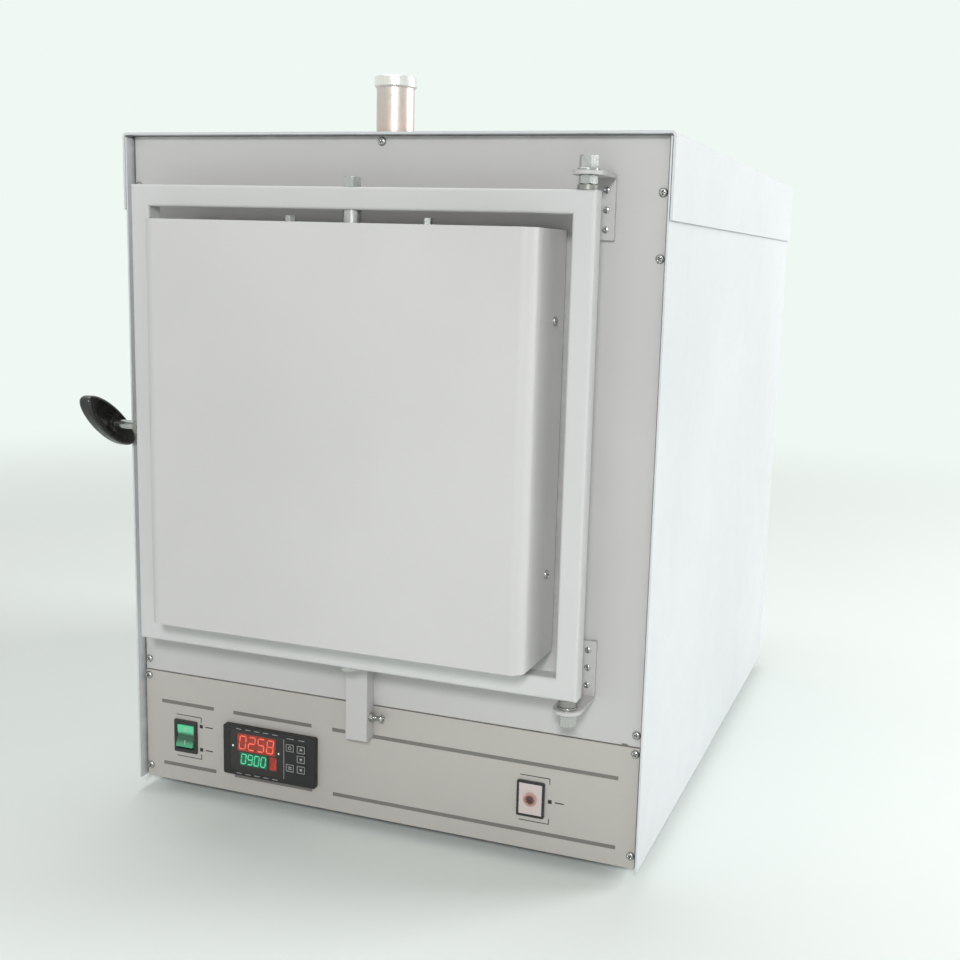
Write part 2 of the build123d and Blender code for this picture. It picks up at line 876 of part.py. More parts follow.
def hinge_washers():
    """Washers under both bolt heads, and the nut and washers that the frame turns against."""
    plate = frame_top + hinge_top_rise
    plate_bottom = frame_bottom - hinge_bottom_drop
    sheet = hinge_bracket_sheet
    bore = hinge_bolt_radius
    nut_z = (plate - hinge_nut_height, plate)
    nut = hex_z(hinge_x, hinge_y, hinge_head_flats, nut_z)
    nut -= rod_z(hinge_x, hinge_y, bore, (nut_z[0] - 1, nut_z[1] + 1))
    stacks = [(plate + sheet, plate + sheet + washer_thickness),
              (nut_z[0] - washer_thickness, nut_z[0]),
              (plate_bottom - sheet - washer_thickness, plate_bottom - sheet),
              (plate_bottom, plate_bottom + washer_thickness)]
    return [nut] + [washer(washer_radius, bore, hinge_x, hinge_y, z) for z in stacks]


def hinge_bushes():
    """Bushes let into the frame's two right-hand corners, turning on the hinge bolts."""
    rise = hinge_top_rise - hinge_nut_height - washer_thickness - resting_gap
    drop = hinge_bottom_drop - washer_thickness - resting_gap
    outer = hinge_bolt_radius + bush_wall
    bore = hinge_bolt_radius + running_clearance
    upper = rod_z(hinge_x, hinge_y, outer, (frame_top - bush_depth, frame_top + rise))
    upper += rod_z(hinge_x, hinge_y, outer + bush_collar / 2, (frame_top, frame_top + rise))
    lower = rod_z(hinge_x, hinge_y, outer, (frame_bottom - drop, frame_bottom + bush_depth))
    lower += rod_z(hinge_x, hinge_y, outer + bush_collar / 2, (frame_bottom - drop, frame_bottom))
    bushes = []
    for bush in (upper, lower):
        bushes.append(bush - rod_z(hinge_x, hinge_y, bore, (frame_bottom - 50, frame_top + 50)))
    return bushes


# Door frame


def frame_ring(inset):
    """The outline of the frame's tube, or of the hollow inside it, swept round the rectangle."""
    height = frame_top - frame_bottom
    outer = Rectangle(frame_width - 2 * inset, height - 2 * inset)
    opening = Rectangle(frame_width - 2 * tube + 2 * inset, height - 2 * tube + 2 * inset)
    ring = extrude(Plane.XZ * (outer - opening), -(tube - 2 * inset))
    centre_z = (frame_bottom + frame_top) / 2
    return Pos(door_centre_x, frame_back - tube + inset, centre_z) * ring


def door_frame():
    frame = frame_ring(0)
    ends = frame.faces().sort_by(Axis.Y)
    rounded = ends[0].edges() + ends[-1].edges()
    frame = fillet(rounded, tube_round)
    frame -= frame_ring(tube_wall)
    bush = hinge_bolt_radius + bush_wall
    frame -= rod_z(hinge_x, hinge_y, bush, (frame_top - tube_wall - 1, frame_top + 1))
    frame -= rod_z(hinge_x, hinge_y, bush, (frame_bottom - 1, frame_bottom + tube_wall + 1))
    frame -= rod_z(hinge_x, hinge_y, bush, (frame_top - bush_depth, frame_top - tube + tube_wall))
    frame -= rod_z(hinge_x, hinge_y, bush, (frame_bottom + tube - tube_wall, frame_bottom + bush_depth))
    frame -= rod_z(door_centre_x, hinge_y, pivot_radius, (frame_bottom - 1, frame_top + 1))
    frame -= rod_x(hinge_y, latch_z, latch_shaft_radius + bush_wall,
                   (frame_left - 1, frame_left + tube + 1))
    return [frame]


def latch_bush():
    outer = latch_shaft_radius + bush_wall
    start = frame_left - latch_bush_collar
    bush = rod_x(hinge_y, latch_z, outer, (start, frame_left + tube + latch_bush_proud))
    bush += rod_x(hinge_y, latch_z, outer + bush_collar / 2, (start, frame_left))
    bore = latch_shaft_radius + running_clearance
    return [bush - rod_x(hinge_y, latch_z, bore, (frame_left - 20, frame_left + 40))]


def pivot_bolts():
    """The two bolts that the leaf hangs and turns on, through the middle of the frame's bars."""
    head = (frame_top, frame_top + pivot_head_height)
    upper = hex_z(door_centre_x, hinge_y, pivot_head_flats, head)
    upper += rod_z(door_centre_x, hinge_y, pivot_radius, (leaf_top - pivot_reach, frame_top))
    foot = (frame_bottom - pivot_foot_height, frame_bottom)
    lower = hex_z(door_centre_x, hinge_y, pivot_head_flats, foot)
    lower += rod_z(door_centre_x, hinge_y, pivot_radius, (frame_bottom, leaf_bottom + pivot_reach))
    return [upper, lower]


def pivot_nuts():
    upper_z = (frame_top - tube - pivot_nut_height, frame_top - tube)
    lower_z = (frame_bottom + tube, frame_bottom + tube + pivot_nut_height)
    nuts = []
    for z in (upper_z, lower_z):
        nut = hex_z(door_centre_x, hinge_y, pivot_head_flats, z)
        nuts.append(nut - rod_z(door_centre_x, hinge_y, pivot_radius, (z[0] - 1, z[1] + 1)))
    upper_sleeve = (leaf_top + resting_gap, upper_z[0])
    lower_sleeve = (lower_z[1], leaf_bottom - resting_gap)
    for z in (upper_sleeve, lower_sleeve):
        nuts.append(washer(pivot_spacer_radius, pivot_radius, door_centre_x, hinge_y, z))
    return nuts


# Door leaf


def leaf_prism(inset, y):
    """The leaf's outline seen from above, with its two rounded front edges, less an inset all round."""
    depth = y[1] - y[0]
    outline = Rectangle(leaf_width - 2 * inset, depth)
    prism = extrude(outline, leaf_top - leaf_bottom - 2 * inset)
    return Pos(door_centre_x, (y[0] + y[1]) / 2, leaf_bottom + inset) * prism


def rounded_prism(inset, back):
    prism = leaf_prism(inset, (leaf_front + inset, back))
    edges = prism.edges().filter_by(Axis.Z).group_by(Axis.Y)[0]
    return fillet(edges, leaf_bend - inset)


def leaf_bolt(x, side):
    """A hexagon bolt on its washer, standing on the leaf's top or bottom edge."""
    edge = leaf_top if side > 0 else leaf_bottom
    levels = [edge + side * rise for rise in (-screw_length, 0, leaf_washer_height, leaf_bolt_rise)]
    shank, washer_z, head_z = (sorted(pair) for pair in zip(levels, levels[1:]))
    bolt = rod_z(x, leaf_screw_y, screw_shank_radius, shank)
    bolt += rod_z(x, leaf_screw_y, leaf_washer_radius, washer_z)
    return bolt + hex_z(x, leaf_screw_y, leaf_bolt_flats, head_z)


def door_cover_screws():
    screws = []
    for side in (-1, 1):
        for x in around(door_centre_x, leaf_half - leaf_screw_from_side):
            screws.append(leaf_bolt(x, side))
        for z in (leaf_bottom + leaf_screw_from_end, leaf_top - leaf_screw_from_end):
            place = facing_side(door_centre_x + side * leaf_half, leaf_screw_y, z, side)
            screws.append(pan_screw(place))
    return screws


def door_cover():
    """The folded pan that covers the leaf's front and edges."""
    cover = rounded_prism(0, leaf_back) - rounded_prism(leaf_sheet, leaf_back + 1)
    cover -= rod_z(door_centre_x, hinge_y, pivot_radius + pivot_hole_room, (leaf_bottom - 1, leaf_top + 1))
    for screw in door_cover_screws():
        cover -= screw
    return [cover]


def door_back():
    """The shallow tray that closes the back of the leaf, with its rim turned forward inside the cover."""
    tray = leaf_prism(leaf_sheet, (leaf_back - leaf_flange, leaf_back))
    tray -= leaf_prism(2 * leaf_sheet, (leaf_back - leaf_flange - 1, leaf_back - leaf_sheet))
    tray -= block(around(door_centre_x, plug_half_x), (leaf_back - leaf_sheet - 1, leaf_back + 1),
                  around(chamber_z, plug_half_z))
    for screw in door_cover_screws():
        tray -= screw
    for z in pivot_block_levels(0):
        tray -= pivot_block(z)
    return [tray]


def pivot_block(z):
    return block(around(door_centre_x, pivot_block_width / 2), around(hinge_y, pivot_block_depth / 2), z)


def pivot_block_levels(room):
    """Heights of the upper and the lower pivot block, each with some room behind it."""
    upper = leaf_top - leaf_sheet
    lower = leaf_bottom + leaf_sheet
    return [(upper - pivot_block_height - room, upper), (lower, lower + pivot_block_height + room)]


def pivot_blocks():
    bore = rod_z(door_centre_x, hinge_y, pivot_radius + running_clearance, (leaf_bottom, leaf_top))
    return [pivot_block(z) - bore for z in pivot_block_levels(0)]


def door_insulation():
    core = rounded_prism(leaf_sheet, leaf_back - leaf_flange)
    core += leaf_prism(2 * leaf_sheet, (leaf_back - leaf_flange, leaf_back - leaf_sheet))
    for z in pivot_block_levels(pivot_pocket):
        core -= pivot_block(z)
    for screw in door_cover_screws():
        core -= screw
    return [core]


def door_plug():
    """The tapered block that fills the mouth when the door is shut."""
    seat = block(around(door_centre_x, plug_half_x), (leaf_back - leaf_sheet, leaf_back),
                 around(chamber_z, plug_half_z))
    near = Plane((door_centre_x, leaf_back, chamber_z), x_dir=(1, 0, 0), z_dir=(0, 1, 0))
    far = near.offset(plug_length)
    small = Rectangle(2 * (plug_half_x - plug_taper), 2 * (plug_half_z - plug_taper))
    taper = loft([near * Rectangle(2 * plug_half_x, 2 * plug_half_z), far * small])
    taper = fillet(taper.faces().sort_by(Axis.Y)[-1].edges(), plug_round)
    return [seat + taper]


def door_seal():
    """A flattened rope seal lying round the plug."""
    width = chamber_width + 2 * seal_lap
    height = chamber_height + 2 * seal_lap
    outer = RectangleRounded(width + seal_width, height + seal_width, seal_width)
    inner = RectangleRounded(width - seal_width, height - seal_width, seal_width / 2)
    place = Plane((door_centre_x, leaf_back, chamber_z), x_dir=(1, 0, 0), z_dir=(0, 1, 0))
    seal = extrude(place * (outer - inner), seal_thickness)
    return [fillet(seal.faces().sort_by(Axis.Y)[-1].edges(), seal_thickness * 0.6)]


# Latch


def latch_shaft():
    return [rod_x(hinge_y, latch_z, latch_shaft_radius, (knob_x - knob_thickness / 4, shaft_end))]


def latch_hook():
    """A hooked plate on the shaft: an arm and a ring segment that swings in behind the keeper's pin."""
    ring = Circle(hook_outer_radius) - Circle(hook_inner_radius)
    reach = 2 * hook_outer_radius
    start = radians(hook_start_angle)
    end = radians(hook_end_angle)
    wedge = Polygon((0, 0), (reach * cos(start), reach * sin(start)), (reach, reach),
                    (reach * cos(end), reach * sin(end)), align=None)
    segment = ring & wedge
    reach_in = (hook_inner_radius + hook_outer_radius) / 2
    bar = Rectangle(reach_in, hook_arm_width, align=(Align.MIN, Align.CENTER))
    arm = Rot(0, 0, hook_end_angle - hook_arm_lag) * bar
    profile = Plane.YZ * (segment + arm + Circle(hub_radius))
    hook = Pos(hook_end - hook_thickness, hinge_y, latch_z) * extrude(profile, hook_thickness)
    hook += rod_x(hinge_y, latch_z, hub_radius, (hub_start, hook_end))
    hook -= rod_x(hinge_y, latch_z, latch_shaft_radius, (hub_start - 1, hook_end + 1))
    return [hook]


def latch_nut():
    nut = hex_x(hinge_y, latch_z, pivot_head_flats, (hook_end, shaft_end))
    return [nut - rod_x(hinge_y, latch_z, latch_shaft_radius, (hook_end - 1, shaft_end + 1))]


def latch_knob():
    """The oval grip, tilted as it stands when the door is free to open."""
    outline = Plane.YZ * Rot(0, 0, -latch_rest_angle) * Pos(-knob_lead, 0, 0) * Ellipse(knob_length / 2, knob_width / 2)
    grip = extrude(outline, knob_thickness / 2, both=True)
    grip = fillet(grip.edges(), knob_round)
    grip = Pos(knob_x, hinge_y, latch_z) * grip
    inner_face = knob_x + knob_thickness / 2
    grip += rod_x(hinge_y, latch_z, knob_boss_radius, (knob_x, inner_face + knob_boss_height))
    bore = rod_x(hinge_y, latch_z, latch_shaft_radius,
                 (knob_x - knob_thickness / 4, inner_face + knob_boss_height + 1))
    return [grip - bore]


def latch_keeper():
    """An angle on the wall behind the frame's left bar, with a pin for the hook to pull on."""
    plate_x = (hook_end - hook_thickness - keeper_side_gap - keeper_sheet,
               hook_end - hook_thickness - keeper_side_gap)
    pin_y = hinge_y + keeper_pin_offset
    z = around(latch_z, keeper_height / 2)
    upright = block(plate_x, (pin_y - keeper_pin_radius - 1, wall), z)
    foot = block((plate_x[1] - keeper_foot, plate_x[1]), (wall - keeper_sheet, wall), z)
    pin = rod_x(pin_y, latch_z, keeper_pin_radius, (plate_x[0], plate_x[1] + keeper_pin_reach))
    return [upright + foot + pin]


# Door switch


def switch_cover():
    """A narrow box over the door switch, stepped at its back where the control panel stands proud."""
    x = (cover_left, cover_right)
    z = (cover_bottom, cover_top)
    step = split - split_gap / 2
    outer = block(x, (cover_front, panel_face), z) + block(x, (cover_front, wall), (step, z[1]))
    hollow = block((x[0] + cover_wall, x[1] - cover_wall), (cover_front + cover_wall, wall + 1),
                   (z[0] + cover_wall, z[1] - cover_wall))
    cover = fillet(outer.edges().filter_by(Axis.Z).group_by(Axis.Y)[0], 1.0) - hollow
    cover -= rod_y(cover_x, plunger_z, plunger_radius + plunger_clearance,
                   (cover_front - 1, cover_front + cover_wall + 1))
    for screw in cover_screw():
        cover -= screw
    return [cover]


def cover_screw():
    """The clamping screw that stands out of the cover's right side."""
    y = (cover_front + wall) / 2
    z = cover_bottom + cover_screw_rise
    end = cover_right + cover_screw_reach
    shank = rod_x(y, z, screw_shank_radius, (cover_right - cover_screw_inside, end))
    nut = hex_x(y, z, cover_nut_flats, (cover_right, cover_right + cover_nut_height))
    head = rod_x(y, z, screw_head_radius, (end - screw_head_height, end))
    return [shank + nut + head]


def door_switch():
    x = (cover_left + cover_wall, cover_right - cover_wall)
    z = (plunger_z + switch_above - switch_length, plunger_z + switch_above)
    return [block(x, (wall - switch_depth, wall), z)]


def switch_plunger():
    inner = cover_front + cover_wall
    y = (frame_back + resting_gap, inner + plunger_rest_gap + plunger_collar_thickness)
    plunger = rod_y(cover_x, plunger_z, plunger_radius, y)
    plunger = fillet(plunger.edges().group_by(Axis.Y)[0], plunger_radius / 2)
    collar = rod_y(cover_x, plunger_z, plunger_collar_radius, (inner + plunger_rest_gap, y[1]))
    return [plunger + collar]


# Controller


def key_places():
    """The five keys: three in the right-hand column, two beside them."""
    places = []
    for column, rows in zip(key_columns, (key_rows[::2], key_rows)):
        places += [(controller_x + column, controller_z + row) for row in rows]
    return places


def controller_bezel():
    bezel = block(around(controller_x, bezel_width / 2), (bezel_front, panel_face),
                  around(controller_z, bezel_height / 2))
    bezel = fillet(bezel.edges().filter_by(Axis.Y), bezel_round)
    bezel = fillet(bezel.faces().sort_by(Axis.Y)[0].edges(), bezel_round * 0.6)
    bezel -= block(around(controller_x + window_offset, window_width / 2),
                   (bezel_front - 1, bezel_front + window_thickness),
                   around(controller_z, window_height / 2))
    for x, z in key_places():
        bezel -= block(around(x, key_width / 2 + key_clearance),
                       (bezel_front - 1, bezel_front + key_pocket),
                       around(z, key_height / 2 + key_clearance))
    return [bezel]


def controller_window():
    return [block(around(controller_x + window_offset, window_width / 2),
                  (bezel_front + window_sunk, bezel_front + window_thickness),
                  around(controller_z, window_height / 2))]


def controller_case():
    case = block(around(controller_x, case_width / 2), (panel_face, panel_face + case_depth),
                 around(controller_z, case_height / 2))
    return [fillet(case.edges().filter_by(Axis.Y), 1.5)]


def key(place):
    x, z = place
    face = bezel_front - key_proud
    piece = block(around(x, key_width / 2), (face, face + key_thickness), around(z, key_height / 2))
    piece = fillet(piece.edges().filter_by(Axis.Y), 1.0)
    return [fillet(piece.faces().sort_by(Axis.Y)[0].edges(), 0.4)]


# Power switch and lamp


def rocker_housing():
    frame = block(around(switch_x, switch_bezel_width / 2), (panel_face - switch_bezel_proud, panel_face),
                  around(switch_z, switch_bezel_height / 2))
    frame = fillet(frame.edges().filter_by(Axis.Y), 1.5)
    frame = fillet(frame.faces().sort_by(Axis.Y)[0].edges(), 0.8)
    body = block(around(switch_x, switch_body_width / 2), (panel_face, panel_face + switch_body_depth),
                 around(switch_z, switch_body_height / 2))
    well = block(around(switch_x, rocker_half_width + rocker_side_gap),
                 (panel_face - 10, rocker_y + rocker_well),
                 around(switch_z, rocker_radius + rocker_end_gap))
    reach = rocker_half_width + trunnion_reach
    holes = rod_x(rocker_y, switch_z, trunnion_radius + running_clearance,
                  around(switch_x, reach + 0.1))
    return [frame + body - well - holes]


def rocker():
    """The rocker: a shallow V in front, ends rounded about its pivot, and a trunnion on each side."""
    end = (rocker_radius**2 - rocker_crest**2) ** 0.5
    outline = Polygon((-rocker_crest, -end), (-rocker_valley, 0), (-rocker_crest, end),
                      (rocker_back, end * 0.85), (rocker_back, -end * 0.85), align=None)
    body = extrude(Plane.YZ * (outline & Circle(rocker_radius)), rocker_half_width, both=True)
    reach = rocker_half_width + trunnion_reach
    body += Rot(0, 90, 0) * Cylinder(trunnion_radius, 2 * reach)
    return [Pos(switch_x, rocker_y, switch_z) * Rot(rocker_rest_tilt, 0, 0) * body]


def lamp_bezel():
    frame = block(around(lamp_x, switch_bezel_width / 2), (panel_face - switch_bezel_proud, panel_face),
                  around(lamp_z, switch_bezel_height / 2))
    frame = fillet(frame.edges().filter_by(Axis.Y), 1.5)
    face = panel_face - switch_bezel_proud
    frame -= block(around(lamp_x, switch_bezel_width / 2 - lamp_frame),
                   (face - 1, face + lamp_face_thickness),
                   around(lamp_z, switch_bezel_height / 2 - lamp_frame))
    body = block(around(lamp_x, switch_body_width / 2), (panel_face, panel_face + switch_body_depth),
                 around(lamp_z, switch_body_height / 2))
    return [frame + body]


def lamp_face():
    y = (panel_face - switch_bezel_proud, panel_face - switch_bezel_proud + lamp_face_thickness)
    return [block(around(lamp_x, switch_bezel_width / 2 - lamp_frame), y,
                  around(lamp_z, switch_bezel_height / 2 - lamp_frame))]


def lamp_lens():
    y = (panel_face - switch_bezel_proud - lamp_lens_proud, panel_face - switch_bezel_proud)
    lens = rod_y(lamp_x, lamp_z, lamp_lens_radius, y)
    return [fillet(lens.edges().group_by(Axis.Y)[0], lamp_lens_proud * 0.8)]


# Rear fittings and the bay under the deck


def cable_gland():
    z = gland_z
    end = rear_face + gland_length
    thread = rod_y(gland_x, z, gland_thread_radius, (rear_inner - gland_inside, rear_face))
    collar = hex_y(gland_x, z, gland_hex_flats, (rear_face, rear_face + gland_hex_height))
    dome = rod_y(gland_x, z, gland_nut_radius, (rear_face + gland_hex_height, end))
    dome = fillet(dome.edges().group_by(Axis.Y)[-1], gland_round)
    locknut = hex_y(gland_x, z, gland_hex_flats, (rear_inner - gland_locknut, rear_inner))
    gland = thread + collar + dome + locknut
    return [gland - rod_y(gland_x, z, gland_bore_radius, (rear_inner - gland_inside - 1, end + 1))]


def earth_stud():
    z = gland_z
    seat = rear_face + stud_washer
    stud = rod_y(stud_x, z, stud_radius, (rear_inner - stud_nut - 1, rear_face + stud_length))
    stud += hex_y(stud_x, z, stud_flats, (rear_inner - stud_nut, rear_inner))
    stud += rod_y(stud_x, z, 2 * stud_radius, (rear_face, seat))
    stud += hex_y(stud_x, z, stud_flats, (seat, seat + stud_nut))
    return [stud]


def heat_sink():
    """An extruded comb of cooling fins, standing on the tray."""
    x = around(sink_x, sink_width / 2)
    y = (sink_back - sink_length, sink_back)
    top_z = tray_top + sink_fin_height + sink_base
    sink = block(x, y, (top_z - sink_base, top_z))
    for index in range(sink_fins):
        fin_x = x[0] + sink_fin_thickness / 2 + index * (sink_width - sink_fin_thickness) / (sink_fins - 1)
        sink += block(around(fin_x, sink_fin_thickness / 2), y, (tray_top, top_z - sink_base))
    return [sink]


def relay():
    """The solid-state relay that switches the heaters, on top of the heat sink."""
    z = tray_top + sink_fin_height + sink_base
    centre_y = sink_back - sink_length / 2
    body = block(around(sink_x, relay_width / 2), around(centre_y, relay_length / 2), (z, z + relay_height))
    for side in (-1, 1):
        step_y = centre_y + side * relay_length / 2
        body -= block(around(sink_x, relay_width / 2 + 1), around(step_y, relay_step_length),
                      (z + relay_height - relay_step, z + relay_height + 1))
    return [body]


def terminal_block():
    length = terminal_ways * terminal_pitch
    y = (terminal_back - terminal_depth, terminal_back)
    body = block(around(terminal_x, length / 2), y, (tray_top, tray_top + terminal_block_height))
    for way in range(terminal_ways):
        x = terminal_x + (way - (terminal_ways - 1) / 2) * terminal_pitch
        for end in (y[0] + terminal_inset, y[1] - terminal_inset):
            floor = tray_top + terminal_block_height - terminal_well
            body -= rod_z(x, end, terminal_bore, (floor, floor + terminal_well + 1))
    return [body]


nodes = {
    "base_tray": base_tray,
    "left_side_panel": lambda: side_panel(-1),
    "right_side_panel": lambda: side_panel(1),
    "top_hood": top_hood,
    "frame_angles": lambda: drilled_posts() + drilled_rail() + deck_rails(),
    "deck_plate": deck_plate,
    "feet": feet,
    "front_plate": front_plate,
    "control_panel": control_panel,
    "front_screws": lambda: panel_fasteners() + cover_screw() + bracket_rivets(),
    "rear_panel": rear_panel,
    "rear_screws": lambda: rear_panel_screws() + earth_stud(),
    "mouth_ring": mouth_ring,
    "chamber_boards": lambda: side_board(-1) + side_board(1) + chamber_roof() + chamber_floor(),
    "chamber_back": chamber_back_board,
    "hearth_plate": hearth_plate,
    "insulation_wool": lambda: side_wool(-1) + side_wool(1) + top_wool() + bottom_wool() + rear_wool(),
    "heater_coils": lambda: heaters(-1) + heaters(1),
    "heater_beads": heater_beads,
    "thermocouple": thermocouple,
    "exhaust_pipe": exhaust_pipe,
    "exhaust_collar": exhaust_collar,
    "hinge_brackets": lambda: hinge_bracket(True) + hinge_bracket(False),
    "hinge_bolts": hinge_bolts,
    "hinge_washers": hinge_washers,
    "latch_keeper": latch_keeper,
    "switch_cover": switch_cover,
    "door_switch": door_switch,
    "switch_plunger": switch_plunger,
    "controller_bezel": controller_bezel,
    "controller_window": controller_window,
    "controller_case": controller_case,
    "rocker_housing": rocker_housing,
    "rocker": rocker,
    "lamp_bezel": lamp_bezel,
    "lamp_face": lamp_face,
    "lamp_lens": lamp_lens,
    "cable_gland": cable_gland,
    "heat_sink": heat_sink,
    "relay": relay,
    "terminal_block": terminal_block,
    "door_frame": door_frame,
    "frame_bushes": lambda: hinge_bushes() + latch_bush(),
    "pivot_bolts": pivot_bolts,
    "pivot_nuts": pivot_nuts,
    "door_cover": door_cover,
    "door_cover_screws": door_cover_screws,
    "door_back": door_back,
    "pivot_blocks": pivot_blocks,
    "door_insulation": door_insulation,
    "door_plug": door_plug,
    "door_seal": door_seal,
    "latch_shaft": lambda: latch_shaft() + latch_nut(),
    "latch_hook": latch_hook,
    "latch_knob": latch_knob,
}
for number, place in enumerate(key_places(), 1):
    nodes[f"key_{number}"] = lambda place=place: key(place)

os.makedirs("parts", exist_ok=True)
for name, make in nodes.items():
    solids = [solid for piece in make() for solid in piece.solids()]
    shape = solids[0] if len(solids) == 1 else Compound(children=solids)
    export_step(shape, f"parts/{name}.step")
print(len(nodes), "nodes")
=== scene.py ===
import bmesh
import bpy
from math import cos, hypot, pi, radians, sin, tan
from mathutils import Matrix, Vector


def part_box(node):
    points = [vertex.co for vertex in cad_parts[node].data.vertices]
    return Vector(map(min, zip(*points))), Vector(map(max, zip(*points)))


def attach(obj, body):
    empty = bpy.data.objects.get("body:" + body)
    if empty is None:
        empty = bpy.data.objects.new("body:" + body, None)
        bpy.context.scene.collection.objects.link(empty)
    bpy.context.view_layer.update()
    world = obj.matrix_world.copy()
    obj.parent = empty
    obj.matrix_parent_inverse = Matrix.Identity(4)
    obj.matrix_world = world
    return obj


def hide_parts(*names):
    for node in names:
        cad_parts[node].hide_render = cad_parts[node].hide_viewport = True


# The look of the laboratory muffle furnace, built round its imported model. Lengths are in metres.
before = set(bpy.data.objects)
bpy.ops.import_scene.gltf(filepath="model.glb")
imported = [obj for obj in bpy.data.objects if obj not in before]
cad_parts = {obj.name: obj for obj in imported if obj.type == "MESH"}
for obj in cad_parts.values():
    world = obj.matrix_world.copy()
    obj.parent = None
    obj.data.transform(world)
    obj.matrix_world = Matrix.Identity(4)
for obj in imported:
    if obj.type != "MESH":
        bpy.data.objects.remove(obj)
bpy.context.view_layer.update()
mm = 0.001

# Camera, where the photograph was taken from
camera_place = (0.4667, -1.2299, 0.5108)
camera_turn = (79.99, -1.80, 19.65)
camera_lens = 46.65
camera_shift = -0.0475

# Studio
backdrop_colour = (240, 248, 244)
world_light = 0.34
world_tint = (252, 250, 247)
floor_reach = 12.0
floor_fade = (0.95, 2.6)
floor_colours = ((238, 245, 242), (242, 248, 245))
lamps = {
    "front_lamp": {"place": (0.85, -2.7, 1.5), "aim": (0, -0.3, 0.35), "size": 0.4, "power": 37},
    "side_softbox": {"place": (3.0, 1.7, 1.5), "aim": (0.1, 0.1, 0.3), "size": 1.8, "power": 82},
    "top_softbox": {"place": (-0.6, 0.3, 3.0), "aim": (0, 0.1, 0.5), "size": 1.6, "power": 26},
}

# Fasteners
head_height = 2.4 * mm
head_radius = 3.6 * mm
recess_half_width = 0.5 * mm
recess_reach = 2.1 * mm
recess_depth = 1.3 * mm
screw_radius = 1.9 * mm
hex_chamfer = 30.0
bracket_sheet = 3.0 * mm
rivet_height = 1.2 * mm
clamp_nut_flats = 7.0 * mm
clamp_nut_height = 3.0 * mm
clamp_pitch = 0.7 * mm
edge_bolt_flats = 8.0 * mm
edge_bolt_rise = 6.5 * mm
edge_washer_radius = 5.0 * mm
edge_washer_height = 1.2 * mm
louvre_proud = 5.0 * mm
stud_shortest = 15.0 * mm
stud_radius = 3.0 * mm
stud_pitch = 1.0 * mm
stud_nut_flats = 10.0 * mm
stud_nut_height = 5.0 * mm
stud_washer_radius = 6.0 * mm
stud_washer_height = 1.2 * mm

# Upright bolts of the hinges and of the leaf's pivots
bolt_radius = 4.0 * mm
bolt_flats = 13.0 * mm
bolt_pitch = 1.25 * mm
hinge_head_height = 9.5 * mm
hinge_washer_radius = 8.5 * mm
hinge_washer_thickest = 3.0 * mm
pivot_head_height = 8.0 * mm
pivot_foot_height = 4.0 * mm
pivot_nut_height = 3.0 * mm
pivot_sleeve_radius = 7.5 * mm

# Heaters
coil_radius = 4.9 * mm
coil_wire_radius = 0.75 * mm
coil_pitch = 4.6 * mm
coil_bend = 12.0 * mm
coil_turn_points = 11
coil_back_gap = 2.0 * mm
tail_radius = 1.9 * mm
tail_overlap = 3.0 * mm

# Rope seal
seal_strands = 6
seal_pitch = 17.0 * mm
seal_strand_radius = 0.62 * mm
seal_turn_points = 10
seal_half_width = 5.0 * mm
seal_corner = 7.0 * mm
seal_weave = 0.14

# Stripes on the control panel, as x and z in millimetres
print_thickness = 0.08 * mm
stripe_height = 3.5
stripe_round = 0.3
stripe_rows = {
    89.5: ((-224, -167), (-146, -64), (-43, 224)),
    28.0: ((-223, -165), (-145, -63), (-42, 224)),
}

# Thin marks round the switch and the lamp, as x and z from their middle, width and height in millimetres
square_places = {"rocker_housing": ((16.5, 12), (16.5, -11)), "lamp_bezel": ((17, 0),)}
square_size = 3.4
dash_offset, dash_length, dash_height = 8.5, 8, 1.0
bracket_strokes = ((0, 20.5, 21, 0.7), (13.6, 20.5, 6, 0.7), (16.5, 18, 0.7, 5))

# Controller's display, as offsets from the middle of its bezel in millimetres
display_slant = 0.12
display_rows = {
    "reading": {"x": -12.6, "z": 8.9, "pitch": 9.6, "bar": (6.4, 12.4, 1.25), "glow": (40, 17),
                "shows": "0258"},
    "setting": {"x": -15.9, "z": -7.0, "pitch": 6.9, "bar": (4.6, 9.4, 0.95), "glow": (28.5, 12.6),
                "shows": "0900"},
    "stage": {"x": 4.9, "z": -7.0, "pitch": 6.9, "bar": (4.4, 9.0, 0.9), "glow": (7.4, 12.6),
              "shows": "1"},
}
bar_gap_share = 0.12
glow_thickness = 0.05 * mm
glow_round = 0.6 * mm
lit_bar_thickness = 0.09 * mm
dim_bar_thickness = 0.06 * mm
status_lamps = ((10.6, 4.0), (-37.5, 4.5))
status_lamp_profile = ((0.9, 0), (0.8, 0.12), (0.4, 0.22), (0, 0.25))
segments_lit = {"0": "abcdef", "1": "bc", "2": "abged", "5": "acdfg", "8": "abcdefg", "9": "abcdfg"}

# Print on the controller's bezel, as x and z from its middle, width and height in millimetres
bezel_print_thickness = 0.05 * mm
bezel_strokes = [(-31 + 9.5 * i, z, 5.5, 0.5) for z in (21.6, -21.6) for i in range(5)]
bezel_strokes += [(23.0, 20.4, 7.0, 0.5), (34.5, 20.4, 6.0, 0.5), (16.3, 0, 0.45, 38)]

